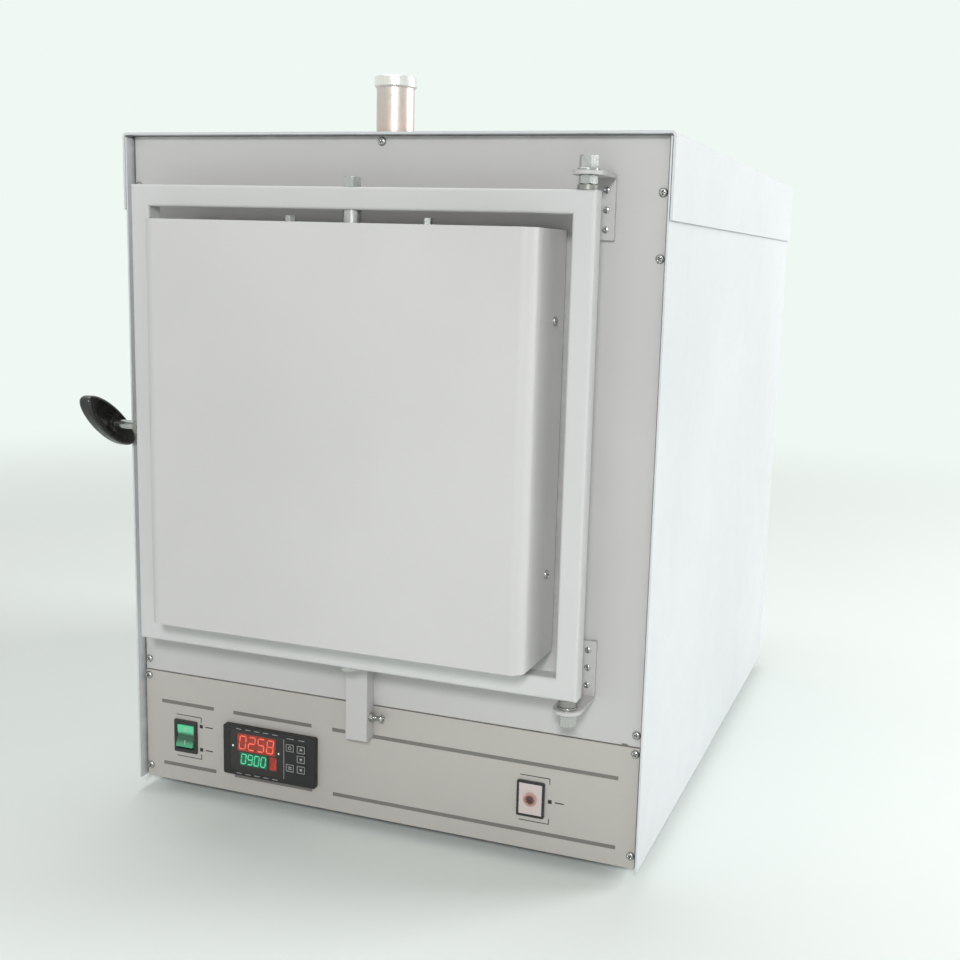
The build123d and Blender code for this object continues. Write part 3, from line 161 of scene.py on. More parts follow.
# Signs on the keys and the rocker
key_signs = {1: "ring", 2: "bars", 3: "up", 4: "down", 5: "left"}
key_line = 0.45 * mm
key_sign_thickness = 0.06 * mm
key_ring = (1.1 * mm, 1.6 * mm)
key_bar = (3.6 * mm, 0.7 * mm)
key_bar_offset = 0.9 * mm
key_arrow = 1.7 * mm
rocker_rest_tilt = -8.0
rocker_pivot_depth = 3.0 * mm
rocker_crest = 6.0 * mm
rocker_valley = 4.0 * mm
rocker_radius = 12.0 * mm
rocker_sign_share = 0.58
rocker_ring = (1.5 * mm, 2.1 * mm)
rocker_bar = (0.8 * mm, 4.2 * mm)

# Lamp's lens: rings as shares of its radius and of its height, and flutes up to a share of its radius
jewel_rings = ((1.0, 0.0), (1.0, 0.72), (0.95, 0.8), (0.8, 0.8), (0.76, 0.68), (0.7, 0.7), (0.5, 0.86),
               (0.28, 0.96))
jewel_steps = 64
jewel_flutes = 8
flute_depth = 0.07
flute_reach = 0.76

# Colours that dirt, wear and heat leave on the finishes; the dirt, scorch and soot colours go into inner
# corners by how hidden they are, so they also paint shade there
dirt_and_shade_colour = (112, 106, 98)
dust_colour = (150, 145, 136)
bare_edge_colour = (158, 158, 156)
bright_edge_colour = (235, 235, 232)
scorch_and_shade_colour = (165, 132, 100)
heat_colour = (208, 180, 168)
soot_and_shade_colour = (70, 62, 56)


def linear(colour, shade=1.0):
    """A colour of 0 to 255 per channel as the shader's own value, lighter or darker by shade."""
    channels = []
    for value in colour:
        value = min(1.0, value / 255 * shade)
        channels.append(value / 12.92 if value <= 0.04045 else ((value + 0.055) / 1.055) ** 2.4)
    return (*channels, 1.0)


# Shader nodes


def add(tree, kind, inputs=None, **settings):
    """Places a shader node. Inputs are values, or sockets that are joined to it."""
    node = tree.nodes.new("ShaderNode" + kind)
    for name, value in settings.items():
        setattr(node, name, value)
    for name, value in (inputs or {}).items():
        if isinstance(value, bpy.types.NodeSocket):
            tree.links.new(value, node.inputs[name])
        else:
            node.inputs[name].default_value = value
    return node


def maths(tree, operation, *values):
    """One step of arithmetic on values or sockets."""
    return add(tree, "Math", dict(enumerate(values)), operation=operation).outputs[0]


def vector(tree, operation, *values):
    """One step of arithmetic on vectors."""
    return add(tree, "VectorMath", dict(enumerate(values)), operation=operation).outputs[0]


def dot(tree, a, b):
    """How far two directions agree."""
    return add(tree, "VectorMath", {0: a, 1: b}, operation="DOT_PRODUCT").outputs["Value"]


def mix(tree, factor, first, second):
    """A colour between two, by a factor."""
    return add(tree, "Mix", {0: factor, 6: first, 7: second}, data_type="RGBA").outputs[2]


def spread(tree, value, start, end, low=0.0, high=1.0):
    """Maps start to end onto low to high, with soft ends."""
    inputs = {"Value": value, "From Min": start, "From Max": end, "To Min": low, "To Max": high}
    return add(tree, "MapRange", inputs, interpolation_type="SMOOTHSTEP").outputs["Result"]


def surface_point(tree):
    """The place on the object, in its own metres."""
    return add(tree, "TexCoord").outputs["Object"]


def noise(tree, point, scale, detail=2.0, roughness=0.5, distortion=0.0):
    """Soft random patches; scale is how many fit in a metre."""
    inputs = {"Vector": point, "Scale": scale, "Detail": detail, "Roughness": roughness,
              "Distortion": distortion}
    return add(tree, "TexNoise", inputs).outputs[0]


def new_group(name, inputs, outputs):
    """An empty node group with its named inputs, given as values, and its named outputs."""
    tree = bpy.data.node_groups.new(name, "ShaderNodeTree")
    for label, value in inputs.items():
        kind = "NodeSocketVector" if isinstance(value, tuple) else "NodeSocketFloat"
        tree.interface.new_socket(label, in_out="INPUT", socket_type=kind).default_value = value
    for label, kind in outputs.items():
        tree.interface.new_socket(label, in_out="OUTPUT", socket_type="NodeSocket" + kind)
    return tree, tree.nodes.new("NodeGroupInput").outputs, tree.nodes.new("NodeGroupOutput").inputs


def powder_coat_group():
    """Orange peel and specks of a powder coat, and the slow change of tone over a sheet."""
    tree, given, out = new_group("Powder coat", {"Grain": 1100.0}, {"Height": "Float", "Tone": "Float"})
    point = surface_point(tree)
    peel = noise(tree, point, given["Grain"], 3, 0.6)
    slow = noise(tree, point, 38.0, 2, 0.5)
    height = maths(tree, "ADD", peel, maths(tree, "MULTIPLY", slow, 1.6))
    tree.links.new(height, out["Height"])
    cloud = noise(tree, point, 3.1, 3, 0.55)
    speck = noise(tree, point, 2400.0, 1, 0.5)
    tone = maths(tree, "ADD", spread(tree, cloud, 0.3, 0.7, 0.0, 0.75),
                 spread(tree, speck, 0.35, 0.65, 0.0, 0.25))
    tree.links.new(tone, out["Tone"])
    return tree


def edge_wear_group():
    """Where an outer edge is rubbed: the rounded normal leaves the flat one there, in patches."""
    tree, given, out = new_group("Edge wear", {"Radius": 0.001, "Patches": 90.0}, {"Mask": "Float"})
    rounded = add(tree, "Bevel", {"Radius": given["Radius"]}, samples=4).outputs[0]
    flat = add(tree, "NewGeometry").outputs["Normal"]
    bend = maths(tree, "SUBTRACT", 1.0, dot(tree, rounded, flat))
    patches = noise(tree, surface_point(tree), given["Patches"], 4, 0.65)
    mask = maths(tree, "MULTIPLY", spread(tree, bend, 0.02, 0.2), spread(tree, patches, 0.42, 0.62))
    tree.links.new(mask, out["Mask"])
    return tree


def corner_dirt_and_shade_group():
    """Dust and dirt in inner corners and round fittings, and painted shade there: how hidden each point is,
    in patches.
    """
    tree, given, out = new_group("Corner dirt and shade", {"Reach": 0.01, "Patches": 60.0}, {"Mask": "Float"})
    open_share = add(tree, "AmbientOcclusion", {"Distance": given["Reach"]}, samples=6).outputs["AO"]
    patches = noise(tree, surface_point(tree), given["Patches"], 4, 0.6)
    hidden = spread(tree, open_share, 0.25, 0.85, 1.0, 0.0)
    tree.links.new(maths(tree, "MULTIPLY", hidden, spread(tree, patches, 0.2, 0.7)), out["Mask"])
    return tree


def soft_edge_group():
    """A normal that rounds sharp edges a little."""
    tree, given, out = new_group("Soft edges", {"Radius": 0.0005}, {"Normal": "Vector"})
    tree.links.new(add(tree, "Bevel", {"Radius": given["Radius"]}, samples=4).outputs[0], out["Normal"])
    return tree


def brushed_group():
    """Fine lines drawn along one direction, by a stretch for each axis."""
    tree, given, out = new_group("Brushed lines", {"Stretch": (1.0, 1.0, 0.02), "Fineness": 900.0},
                                 {"Lines": "Float"})
    drawn = vector(tree, "MULTIPLY", surface_point(tree), given["Stretch"])
    tree.links.new(noise(tree, drawn, given["Fineness"], 4, 0.65), out["Lines"])
    return tree


def smudge_group():
    """Finger marks and wiped patches, for the gloss."""
    tree, given, out = new_group("Smudges", {"Patches": 16.0}, {"Value": "Float"})
    point = surface_point(tree)
    wiped = noise(tree, point, given["Patches"], 5, 0.6, 0.7)
    fine = noise(tree, point, 160.0, 3, 0.6)
    both = maths(tree, "ADD", maths(tree, "MULTIPLY", wiped, 0.75), maths(tree, "MULTIPLY", fine, 0.25))
    tree.links.new(spread(tree, both, 0.3, 0.7), out["Value"])
    return tree


def ceramic_group():
    """The open grain of fibre board and cast refractory: soft lumps with small pits."""
    tree, given, out = new_group("Ceramic grain", {"Grain": 260.0}, {"Height": "Float", "Pits": "Float"})
    point = surface_point(tree)
    lumps = noise(tree, point, given["Grain"], 5, 0.65)
    cells = add(tree, "TexVoronoi", {"Vector": point, "Scale": maths(tree, "MULTIPLY", given["Grain"], 0.7)})
    pits = spread(tree, cells.outputs["Distance"], 0.05, 0.22, 1.0, 0.0)
    tree.links.new(pits, out["Pits"])
    tree.links.new(maths(tree, "SUBTRACT", lumps, maths(tree, "MULTIPLY", pits, 0.5)), out["Height"])
    return tree


def fibre_group():
    """Loose fibres lying across each other."""
    tree, given, out = new_group("Fibres", {"Fineness": 500.0}, {"Height": "Float", "Tone": "Float"})
    point = surface_point(tree)
    along_x = noise(tree, vector(tree, "MULTIPLY", point, (0.08, 1.0, 1.0)), given["Fineness"], 3, 0.6, 1.5)
    along_z = noise(tree, vector(tree, "MULTIPLY", point, (1.0, 1.0, 0.08)), given["Fineness"], 3, 0.6, 1.5)
    tree.links.new(maths(tree, "MAXIMUM", along_x, along_z), out["Height"])
    tree.links.new(spread(tree, noise(tree, point, 45.0, 4, 0.6), 0.3, 0.7), out["Tone"])
    return tree


groups = {tree.name: tree for tree in (
    powder_coat_group(), edge_wear_group(), corner_dirt_and_shade_group(), soft_edge_group(), brushed_group(),
    smudge_group(), ceramic_group(), fibre_group())}


def effect(tree, name, **inputs):
    """Places one of the shared effects with this material's own values."""
    node = tree.nodes.new("ShaderNodeGroup")
    node.node_tree = groups[name]
    for label, value in inputs.items():
        node.inputs[label].default_value = value
    return node.outputs


def new_finish(name, roughness, metallic=0.0):
    """A material with its nodes, its main shader and its plain values set."""
    material = bpy.data.materials.new(name)
    material.use_nodes = True
    tree = material.node_tree
    shader = tree.nodes["Principled BSDF"]
    shader.inputs["Metallic"].default_value = metallic
    shader.inputs["Roughness"].default_value = roughness
    return material, tree, shader.inputs


def bump(tree, shader, height, depth, soft_edge):
    """Gives the shader a relief of a real depth over softened edges."""
    normal = effect(tree, "Soft edges", Radius=soft_edge)["Normal"]
    inputs = {"Strength": 1.0, "Distance": depth, "Height": height, "Normal": normal}
    tree.links.new(add(tree, "Bump", inputs).outputs[0], shader["Normal"])


def gloss(tree, shader, low, high, patches=16.0):
    """Varies the roughness between two values with smudges."""
    value = effect(tree, "Smudges", Patches=patches)["Value"]
    tree.links.new(spread(tree, value, 0.0, 1.0, low, high), shader["Roughness"])


def coated(name, colour, roughness=0.42, grain=1100.0, peel=0.05 * mm, worn=0.35, dirt_and_shade_share=0.45):
    """Powder-coated sheet steel."""
    material, tree, shader = new_finish(name, roughness)
    coat = effect(tree, "Powder coat", Grain=grain)
    tone = mix(tree, coat["Tone"], linear(colour, 0.975), linear(colour, 1.02))
    # Darker in inner corners: dirt, and painted shade there.
    dirt_and_shade = effect(tree, "Corner dirt and shade", Reach=14 * mm, Patches=70.0)["Mask"]
    soiled_and_shaded = mix(tree, maths(tree, "MULTIPLY", dirt_and_shade, dirt_and_shade_share), tone, linear(dirt_and_shade_colour))
    wear = effect(tree, "Edge wear", Radius=0.7 * mm, Patches=120.0)["Mask"]
    rubbed = mix(tree, maths(tree, "MULTIPLY", wear, worn), soiled_and_shaded, linear(bare_edge_colour))
    tree.links.new(rubbed, shader["Base Color"])
    gloss(tree, shader, roughness - 0.05, roughness + 0.09)
    bump(tree, shader, coat["Height"], peel, 0.6 * mm)
    return material


def bare_metal(name, colour, roughness=0.28, stretch=(1.0, 1.0, 0.03), relief=0.02 * mm,
               tarnish_and_shade_colour=(120, 112, 100), tarnish_and_shade_share=0.35):
    """Bare or plated metal with drawn lines, darker in its corners by tarnish and painted shade, and bright
    on its edges.
    """
    material, tree, shader = new_finish(name, roughness, 1.0)
    lines = effect(tree, "Brushed lines", Stretch=stretch)["Lines"]
    tone = mix(tree, lines, linear(colour, 0.9), linear(colour, 1.06))
    # Darker in corners and recesses: tarnish, and painted shade there.
    dirt_and_shade = effect(tree, "Corner dirt and shade", Reach=6 * mm, Patches=140.0)["Mask"]
    dulled_and_shaded = mix(tree, maths(tree, "MULTIPLY", dirt_and_shade, tarnish_and_shade_share), tone, linear(tarnish_and_shade_colour))
    wear = effect(tree, "Edge wear", Radius=0.4 * mm, Patches=300.0)["Mask"]
    bright = mix(tree, maths(tree, "MULTIPLY", wear, 0.7), dulled_and_shaded, linear(bright_edge_colour))
    tree.links.new(bright, shader["Base Color"])
    gloss(tree, shader, roughness - 0.08, roughness + 0.12, 60.0)
    bump(tree, shader, lines, relief, 0.35 * mm)
    return material


def moulded(name, colour, roughness=0.3, grain=1500.0, relief=0.02 * mm, worn=0.3, coat=0.0):
    """Moulded plastic or rubber: fine grain, smudged gloss and paler edges."""
    material, tree, shader = new_finish(name, roughness)
    shader["Coat Weight"].default_value = coat
    shader["Coat Roughness"].default_value = 0.08
    surface = effect(tree, "Powder coat", Grain=grain)
    tone = mix(tree, surface["Tone"], linear(colour, 0.93), linear(colour, 1.07))
    wear = effect(tree, "Edge wear", Radius=0.5 * mm, Patches=260.0)["Mask"]
    paler = linear([min(255, value + 60) for value in colour])
    rubbed = mix(tree, maths(tree, "MULTIPLY", wear, worn), tone, paler)
    # Dust in inner corners, paler than dark plastics; on pale plastics it is darker, and paints shade there
    # as well.
    dirt_and_shade = effect(tree, "Corner dirt and shade", Reach=4 * mm, Patches=160.0)["Mask"]
    dust_and_shade = mix(tree, maths(tree, "MULTIPLY", dirt_and_shade, 0.18), rubbed, linear(dust_colour))
    tree.links.new(dust_and_shade, shader["Base Color"])
    gloss(tree, shader, roughness - 0.06, roughness + 0.1, 40.0)
    bump(tree, shader, surface["Height"], relief, 0.35 * mm)
    return material


def fired(name, colour, grain=260.0, relief=0.35 * mm, pits=0.5, soft_edge=1.2 * mm):
    """Fibre board or cast ceramic, with pits, and scorched patches in its inner corners that are painted
    shade there as well.
    """
    material, tree, shader = new_finish(name, 0.92)
    shader["Specular IOR Level"].default_value = 0.25
    surface = effect(tree, "Ceramic grain", Grain=grain)
    patches = noise(tree, surface_point(tree), 11.0, 4, 0.6)
    tone = mix(tree, spread(tree, patches, 0.35, 0.7), linear(colour), linear(colour, 0.9))
    pitted = mix(tree, maths(tree, "MULTIPLY", surface["Pits"], pits), tone, linear(colour, 0.7))
    # Browner in inner corners: scorch, and painted shade there.
    dirt_and_shade = effect(tree, "Corner dirt and shade", Reach=18 * mm, Patches=50.0)["Mask"]
    scorched_and_shaded = mix(tree, maths(tree, "MULTIPLY", dirt_and_shade, 0.35), pitted, linear(scorch_and_shade_colour))
    tree.links.new(scorched_and_shaded, shader["Base Color"])
    bump(tree, shader, surface["Height"], relief, soft_edge)
    return material


def fibrous(name, colour, fineness=500.0, relief=0.5 * mm):
    """Wool blanket or rope yarn."""
    material, tree, shader = new_finish(name, 0.95)
    shader["Sheen Weight"].default_value = 0.25
    surface = effect(tree, "Fibres", Fineness=fineness)
    tone = mix(tree, surface["Tone"], linear(colour, 0.9), linear(colour, 1.05))
    # Painted shade in inner corners: a darker copy of the yarn's own colour.
    dirt_and_shade = effect(tree, "Corner dirt and shade", Reach=5 * mm, Patches=120.0)["Mask"]
    dust_and_shade = mix(tree, maths(tree, "MULTIPLY", dirt_and_shade, 0.4), tone, linear(colour, 0.6))
    tree.links.new(dust_and_shade, shader["Base Color"])
    bump(tree, shader, surface["Height"], relief, 0.5 * mm)
    return material


def lit(name, colour, strength, roughness=0.25):
    """A lamp or display that glows, a little uneven."""
    material, tree, shader = new_finish(name, roughness)
    uneven = noise(tree, surface_point(tree), 240.0, 2, 0.5)
    glow = mix(tree, spread(tree, uneven, 0.3, 0.7), linear(colour, 0.88), linear(colour, 1.08))
    tree.links.new(glow, shader["Base Color"])
    tree.links.new(glow, shader["Emission Color"])
    shader["Emission Strength"].default_value = strength
    return material


def rocker_glow_and_highlight(name):
    """Clear green plastic over a lamp: a painted highlight across its top, a little lighter at its bottom,
    dark across the middle.
    """
    material, tree, shader = new_finish(name, 0.16)
    shader["Coat Weight"].default_value = 0.6
    low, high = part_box("rocker")
    height = add(tree, "SeparateXYZ", {0: surface_point(tree)}).outputs["Z"]
    waves = maths(tree, "MULTIPLY", noise(tree, surface_point(tree), 190.0), 2 * mm)
    cloudy = maths(tree, "ADD", height, waves)
    third = (high.z - low.z) / 3
    # The upper band is a painted highlight, where the top half faces up into the light; with the emission it
    # glows as well.
    upper = spread(tree, cloudy, high.z - 1.4 * third, high.z - 0.7 * third)
    lower = spread(tree, cloudy, low.z + 0.4 * third, low.z + 1.2 * third, 0.45, 0.0)
    light = maths(tree, "MAXIMUM", upper, lower)
    green = mix(tree, light, linear((8, 74, 48)), linear((84, 196, 146)))
    tree.links.new(green, shader["Base Color"])
    tree.links.new(green, shader["Emission Color"])
    shader["Emission Strength"].default_value = 0.25
    bump(tree, shader, noise(tree, surface_point(tree), 900.0), 0.006 * mm, 0.3 * mm)
    return material


def lamp_glass(name):
    """The lamp's unlit red lens: a dark core under a pale pinkish rim."""
    material, tree, shader = new_finish(name, 0.1)
    shader["Coat Weight"].default_value = 0.8
    low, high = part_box("lamp_lens")
    centre = (low + high) / 2
    off = vector(tree, "SUBTRACT", surface_point(tree), (centre.x, low.y, centre.z))
    away = add(tree, "VectorMath", {0: off}, operation="LENGTH").outputs["Value"]
    reach = (high.x - low.x) / 2
    waves = maths(tree, "MULTIPLY", noise(tree, surface_point(tree), 900.0), 0.9 * mm)
    wavy = maths(tree, "ADD", away, waves)
    rim = spread(tree, wavy, reach * 0.5, reach * 1.05)
    tree.links.new(mix(tree, rim, linear((74, 26, 26)), linear((196, 150, 142))), shader["Base Color"])
    bump(tree, shader, noise(tree, surface_point(tree), 600.0), 0.01 * mm, 0.3 * mm)
    return material


def heat_tinted(name, colour):
    """The flue pipe: drawn steel gone straw and pink from the heat, more so towards its lower end."""
    material, tree, shader = new_finish(name, 0.34, 1.0)
    point = surface_point(tree)
    lines = effect(tree, "Brushed lines", Stretch=(1.0, 1.0, 0.05), Fineness=700.0)["Lines"]
    tone = mix(tree, lines, linear(colour, 0.88), linear(colour, 1.05))
    height = add(tree, "SeparateXYZ", {0: point}).outputs["Z"]
    bands = maths(tree, "ADD", height, maths(tree, "MULTIPLY", noise(tree, point, 30.0, 3), 0.02))
    low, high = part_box("exhaust_pipe")
    heat = spread(tree, bands, high.z - 55 * mm, high.z + 15 * mm, 0.75, 0.1)
    tinted = mix(tree, heat, tone, linear(heat_colour))
    # Darker in inner corners: soot, and painted shade there.
    dirt_and_shade = effect(tree, "Corner dirt and shade", Reach=12 * mm, Patches=90.0)["Mask"]
    sooted_and_shaded = mix(tree, maths(tree, "MULTIPLY", dirt_and_shade, 0.6), tinted, linear(soot_and_shade_colour))
    tree.links.new(sooted_and_shaded, shader["Base Color"])
    gloss(tree, shader, 0.26, 0.46, 40.0)
    bump(tree, shader, lines, 0.03 * mm, 0.4 * mm)
    return material


finishes = {
    "shell_paint": coated("shell_paint", (214, 217, 220), 0.38),
    "front_paint": coated("front_paint", (198, 197, 196), 0.42),
    "panel_paint": coated("panel_paint", (187, 183, 178), 0.45, dirt_and_shade_share=0.3),
    "door_paint": coated("door_paint", (206, 205, 204), 0.4),
    "frame_paint": coated("frame_paint", (207, 208, 208), 0.36, worn=0.5),
    # The zinc and bush steel go near black in their recesses: painted shade, with some tarnish.
    "zinc_steel": bare_metal("zinc_steel", (186, 186, 184), 0.24, tarnish_and_shade_colour=(58, 56, 52), tarnish_and_shade_share=0.55),
    "plain_steel": bare_metal("plain_steel", (158, 159, 160), 0.42, (1.0, 0.04, 1.0)),
    "pipe_steel": heat_tinted("pipe_steel", (212, 203, 198)),
    "collar_steel": bare_metal("collar_steel", (238, 234, 230), 0.24, tarnish_and_shade_share=0.2),
    "bush_steel": bare_metal("bush_steel", (150, 148, 144), 0.38, tarnish_and_shade_colour=(60, 56, 52), tarnish_and_shade_share=0.7),
    "sink_aluminium": bare_metal("sink_aluminium", (190, 192, 194), 0.36, (1.0, 0.03, 1.0)),
    "coil_wire": bare_metal("coil_wire", (118, 104, 96), 0.52, tarnish_and_shade_colour=(66, 48, 42), tarnish_and_shade_share=0.6),
    "board_ceramic": fired("board_ceramic", (238, 232, 218)),
    "hearth_ceramic": fired("hearth_ceramic", (205, 188, 162), 180.0, 0.3 * mm, 0.7),
    "bead_ceramic": fired("bead_ceramic", (236, 230, 218), 600.0, 0.08 * mm, 0.2, 0.4 * mm),
    "wool": fibrous("wool", (236, 234, 226)),
    "seal_rope": fibrous("seal_rope", (214, 208, 192), 1600.0, 0.12 * mm),
    "rubber": moulded("rubber", (38, 38, 39), 0.62, 900.0, 0.05 * mm, 0.2),
    "black_gloss": moulded("black_gloss", (24, 23, 23), 0.26, 1300.0, 0.015 * mm, 0.25, 0.35),
    "black_matt": moulded("black_matt", (30, 30, 31), 0.46, 1700.0, 0.03 * mm, 0.3),
    "key_plastic": moulded("key_plastic", (46, 46, 48), 0.48, 1400.0, 0.03 * mm, 0.45),
    "window_plastic": moulded("window_plastic", (22, 16, 16), 0.12, 900.0, 0.004 * mm, 0.1, 0.6),
    "rocker_green": rocker_glow_and_highlight("rocker_green"),
    "lamp_white": moulded("lamp_white", (204, 192, 190), 0.34),
    "lamp_red": lamp_glass("lamp_red"),
    "terminal_plastic": moulded("terminal_plastic", (214, 210, 196), 0.4),
}
printed = moulded("panel_print", (118, 115, 111), 0.5, 1600.0, 0.01 * mm, 0.0)
printed_black = moulded("panel_print_black", (32, 31, 31), 0.45, 1600.0, 0.01 * mm, 0.0)
key_mark = moulded("key_mark", (198, 198, 196), 0.45, 1600.0, 0.01 * mm, 0.0)
red_glow = lit("red_glow", (132, 46, 36), 0.5)
red_digit = lit("red_digit", (222, 98, 76), 0.55)
green_glow = lit("green_glow", (22, 92, 66), 0.4)
green_digit = lit("green_digit", (88, 200, 152), 0.55)
dark_red_digit = lit("dark_red_digit", (186, 44, 34), 0.6)
small_lamp = lit("small_lamp", (236, 228, 220), 0.5)


# Meshes


def to_front(x, y, z):
    """A place with its X to the right, its Y up and its Z towards the front."""
    return Matrix(((1, 0, 0, x), (0, 0, -1, y), (0, 1, 0, z), (0, 0, 0, 1)))


def facing(point, outward):
    """A place at a point with its Z axis along outward."""
    return Matrix.Translation(point) @ Vector(outward).to_track_quat("Z", "Y").to_matrix().to_4x4()


def lathe(bm, profile, place, steps, ring=False):
    """Turns (radius, height) points round the place's Z axis; a ring's profile runs back to its start."""
    loops = []
    for radius, height in profile:
        turns = steps if radius else 1
        loops.append([bm.verts.new(place @ Vector((radius * cos(2 * pi * i / steps),
                                                   radius * sin(2 * pi * i / steps), height)))
                      for i in range(turns)])
    pairs = list(zip(loops, loops[1:])) + ([(loops[-1], loops[0])] if ring else [])
    for lower, upper in pairs:
        for i in range(steps):
            j = i + 1
            corners = list(dict.fromkeys((lower[i % len(lower)], lower[j % len(lower)],
                                          upper[j % len(upper)], upper[i % len(upper)])))
            if len(corners) > 2:
                bm.faces.new(corners)


def flat_ring(bm, place, inner, outer, thickness):
    """A ring that lies flat on the place."""
    lathe(bm, [(inner, 0), (outer, 0), (outer, thickness), (inner, thickness)], place, 28, ring=True)


def prism(bm, outline, place, depth):
    """A flat piece from an outline, standing depth high on the place."""
    lower, upper = ([bm.verts.new(place @ Vector((x, y, height))) for x, y in outline]
                    for height in (0.0, depth))
    for i, corner in enumerate(lower):
        after = (i + 1) % len(lower)
        bm.faces.new((corner, lower[after], upper[after], upper[i]))
    bm.faces.new(lower)
    bm.faces.new(upper)


def strips(bm, centre, front, sizes, thickness):
    """Flat upright strips, by x and z from a centre, width and height in millimetres."""
    for x, z, width, height in sizes:
        place = to_front(centre.x + x * mm, front, centre.z + z * mm)
        prism(bm, rectangle(width * mm, height * mm), place, thickness)


def tube(bm, points, radius, sides=6):
    """A round wire along a row of points."""
    normal = None
    rings = []
    for i, point in enumerate(points):
        along = (points[min(i + 1, len(points) - 1)] - points[max(i - 1, 0)]).normalized()
        normal = normal or along.orthogonal()
        normal = (normal - along * normal.dot(along)).normalized()
        other = along.cross(normal)
        angles = (2 * pi * k / sides for k in range(sides))
        rings.append([bm.verts.new(point + (normal * cos(a) + other * sin(a)) * radius) for a in angles])
    for lower, upper in zip(rings, rings[1:]):
        for k in range(sides):
            bm.faces.new((lower[k], lower[(k + 1) % sides], upper[(k + 1) % sides], upper[k]))
    bm.faces.new(rings[0])
    bm.faces.new(rings[-1])


def rectangle(width, height, radius=0.0, steps=4, centre=(0.0, 0.0)):
    """The outline of a rectangle, with rounded corners where a radius is given."""
    outline = []
    for quarter, (sx, sy) in enumerate(((1, 1), (-1, 1), (-1, -1), (1, -1))):
        corner = (centre[0] + sx * (width / 2 - radius), centre[1] + sy * (height / 2 - radius))
        for step in range(steps + 1 if radius else 1):
            angle = pi / 2 * (quarter + step / steps)
            outline.append((corner[0] + radius * cos(angle), corner[1] + radius * sin(angle)))
    return outline


def finish_mesh(bm, name, sharp):
    """The mesh with its normals outward, smooth but for edges sharper than an angle."""
    bmesh.ops.recalc_face_normals(bm, faces=bm.faces)
    for face in bm.faces:
        face.smooth = True
    for edge in bm.edges:
        edge.smooth = edge.calc_face_angle(0) < radians(sharp)
    mesh = bpy.data.meshes.new(name)
    bm.to_mesh(mesh)
    bm.free()
    return mesh


def piece(name, bm, material, body, replaces=(), sharp=32):
    """A finished piece of the object, riding on its body."""
    obj = bpy.data.objects.new(name, finish_mesh(bm, name, sharp))
    bpy.context.scene.collection.objects.link(obj)
    obj.data.materials.append(material)
    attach(obj, body)
    if replaces:
        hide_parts(*replaces)


def stand_in(name, bm, slot, body, node, sharp=32):
    """A finished piece that takes the place of a CAD node and wears that node's finish."""
    piece(name, bm, finishes[slot], body, [node], sharp)


def solids_of(node):
    """The lowest and highest corner of each separate solid of a CAD node."""
    bm = bmesh.new()
    bm.from_mesh(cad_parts[node].data)
    bmesh.ops.remove_doubles(bm, verts=bm.verts, dist=0.002 * mm)
    left = set(bm.verts)
    found = []
    while left:
        waiting = [left.pop()]
        points = []
        while waiting:
            vert = waiting.pop()
            points.append(vert.co.copy())
            near = [edge.other_vert(vert) for edge in vert.link_edges]
            fresh = [other for other in dict.fromkeys(near) if other in left]
            left.difference_update(fresh)
            waiting += fresh
        low = Vector([min(point[i] for point in points) for i in range(3)])
        high = Vector([max(point[i] for point in points) for i in range(3)])
        found.append((low, high))
    bm.free()
    return sorted(found, key=lambda box: [round(value, 5) for value in box[0]])


def middle_of(node):
    """The middle of a CAD node's box."""
    low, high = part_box(node)
    return (low + high) / 2


# Fasteners


def pan_head(bm, place, turn=0.0, radius=head_radius, height=head_height):
    """A pan head with a cross recess, and the start of its shank."""
    steps, rings = 48, 9
    place = place @ Matrix.Rotation(turn, 4, "Z")

    def top_at(x, y):
        share = hypot(x, y) / radius
        dome = height * (1 - 0.55 * share**5 - 0.12 * share**2)
        arms = [max(0.0, 1 - abs(across) / recess_half_width) * max(0.0, 1 - (abs(along) / recess_reach) ** 3)
                for across, along in ((x, y), (y, x))]
        return dome - recess_depth * min(1.0, 2.2 * max(arms))

    turns = [(cos(2 * pi * i / steps), sin(2 * pi * i / steps)) for i in range(steps)]
    loops = [[bm.verts.new(place @ Vector((0, 0, top_at(0, 0))))]]
    for ring in range(1, rings + 1):
        r = radius * ring / rings
        loops.append([bm.verts.new(place @ Vector((r * c, r * s, top_at(r * c, r * s)))) for c, s in turns])
    loops.append([bm.verts.new(place @ Vector((radius * c, radius * s, 0))) for c, s in turns])
    for inner, outer in zip(loops, loops[1:]):
        for i in range(steps):
            corners = (inner[i % len(inner)], outer[i], outer[(i + 1) % steps], inner[(i + 1) % len(inner)])
            bm.faces.new(list(dict.fromkeys(corners)))
    bm.faces.new(loops[-1])


def rivet_head(bm, place, radius, height):
    """A domed rivet head with the small pip that its stem leaves."""
    profile = [(radius, 0), (radius, height * 0.25), (radius * 0.93, height * 0.6),
               (radius * 0.7, height * 0.9), (radius * 0.34, height), (radius * 0.3, height * 0.8),
               (0, height * 0.78)]
    lathe(bm, profile, place, 28)


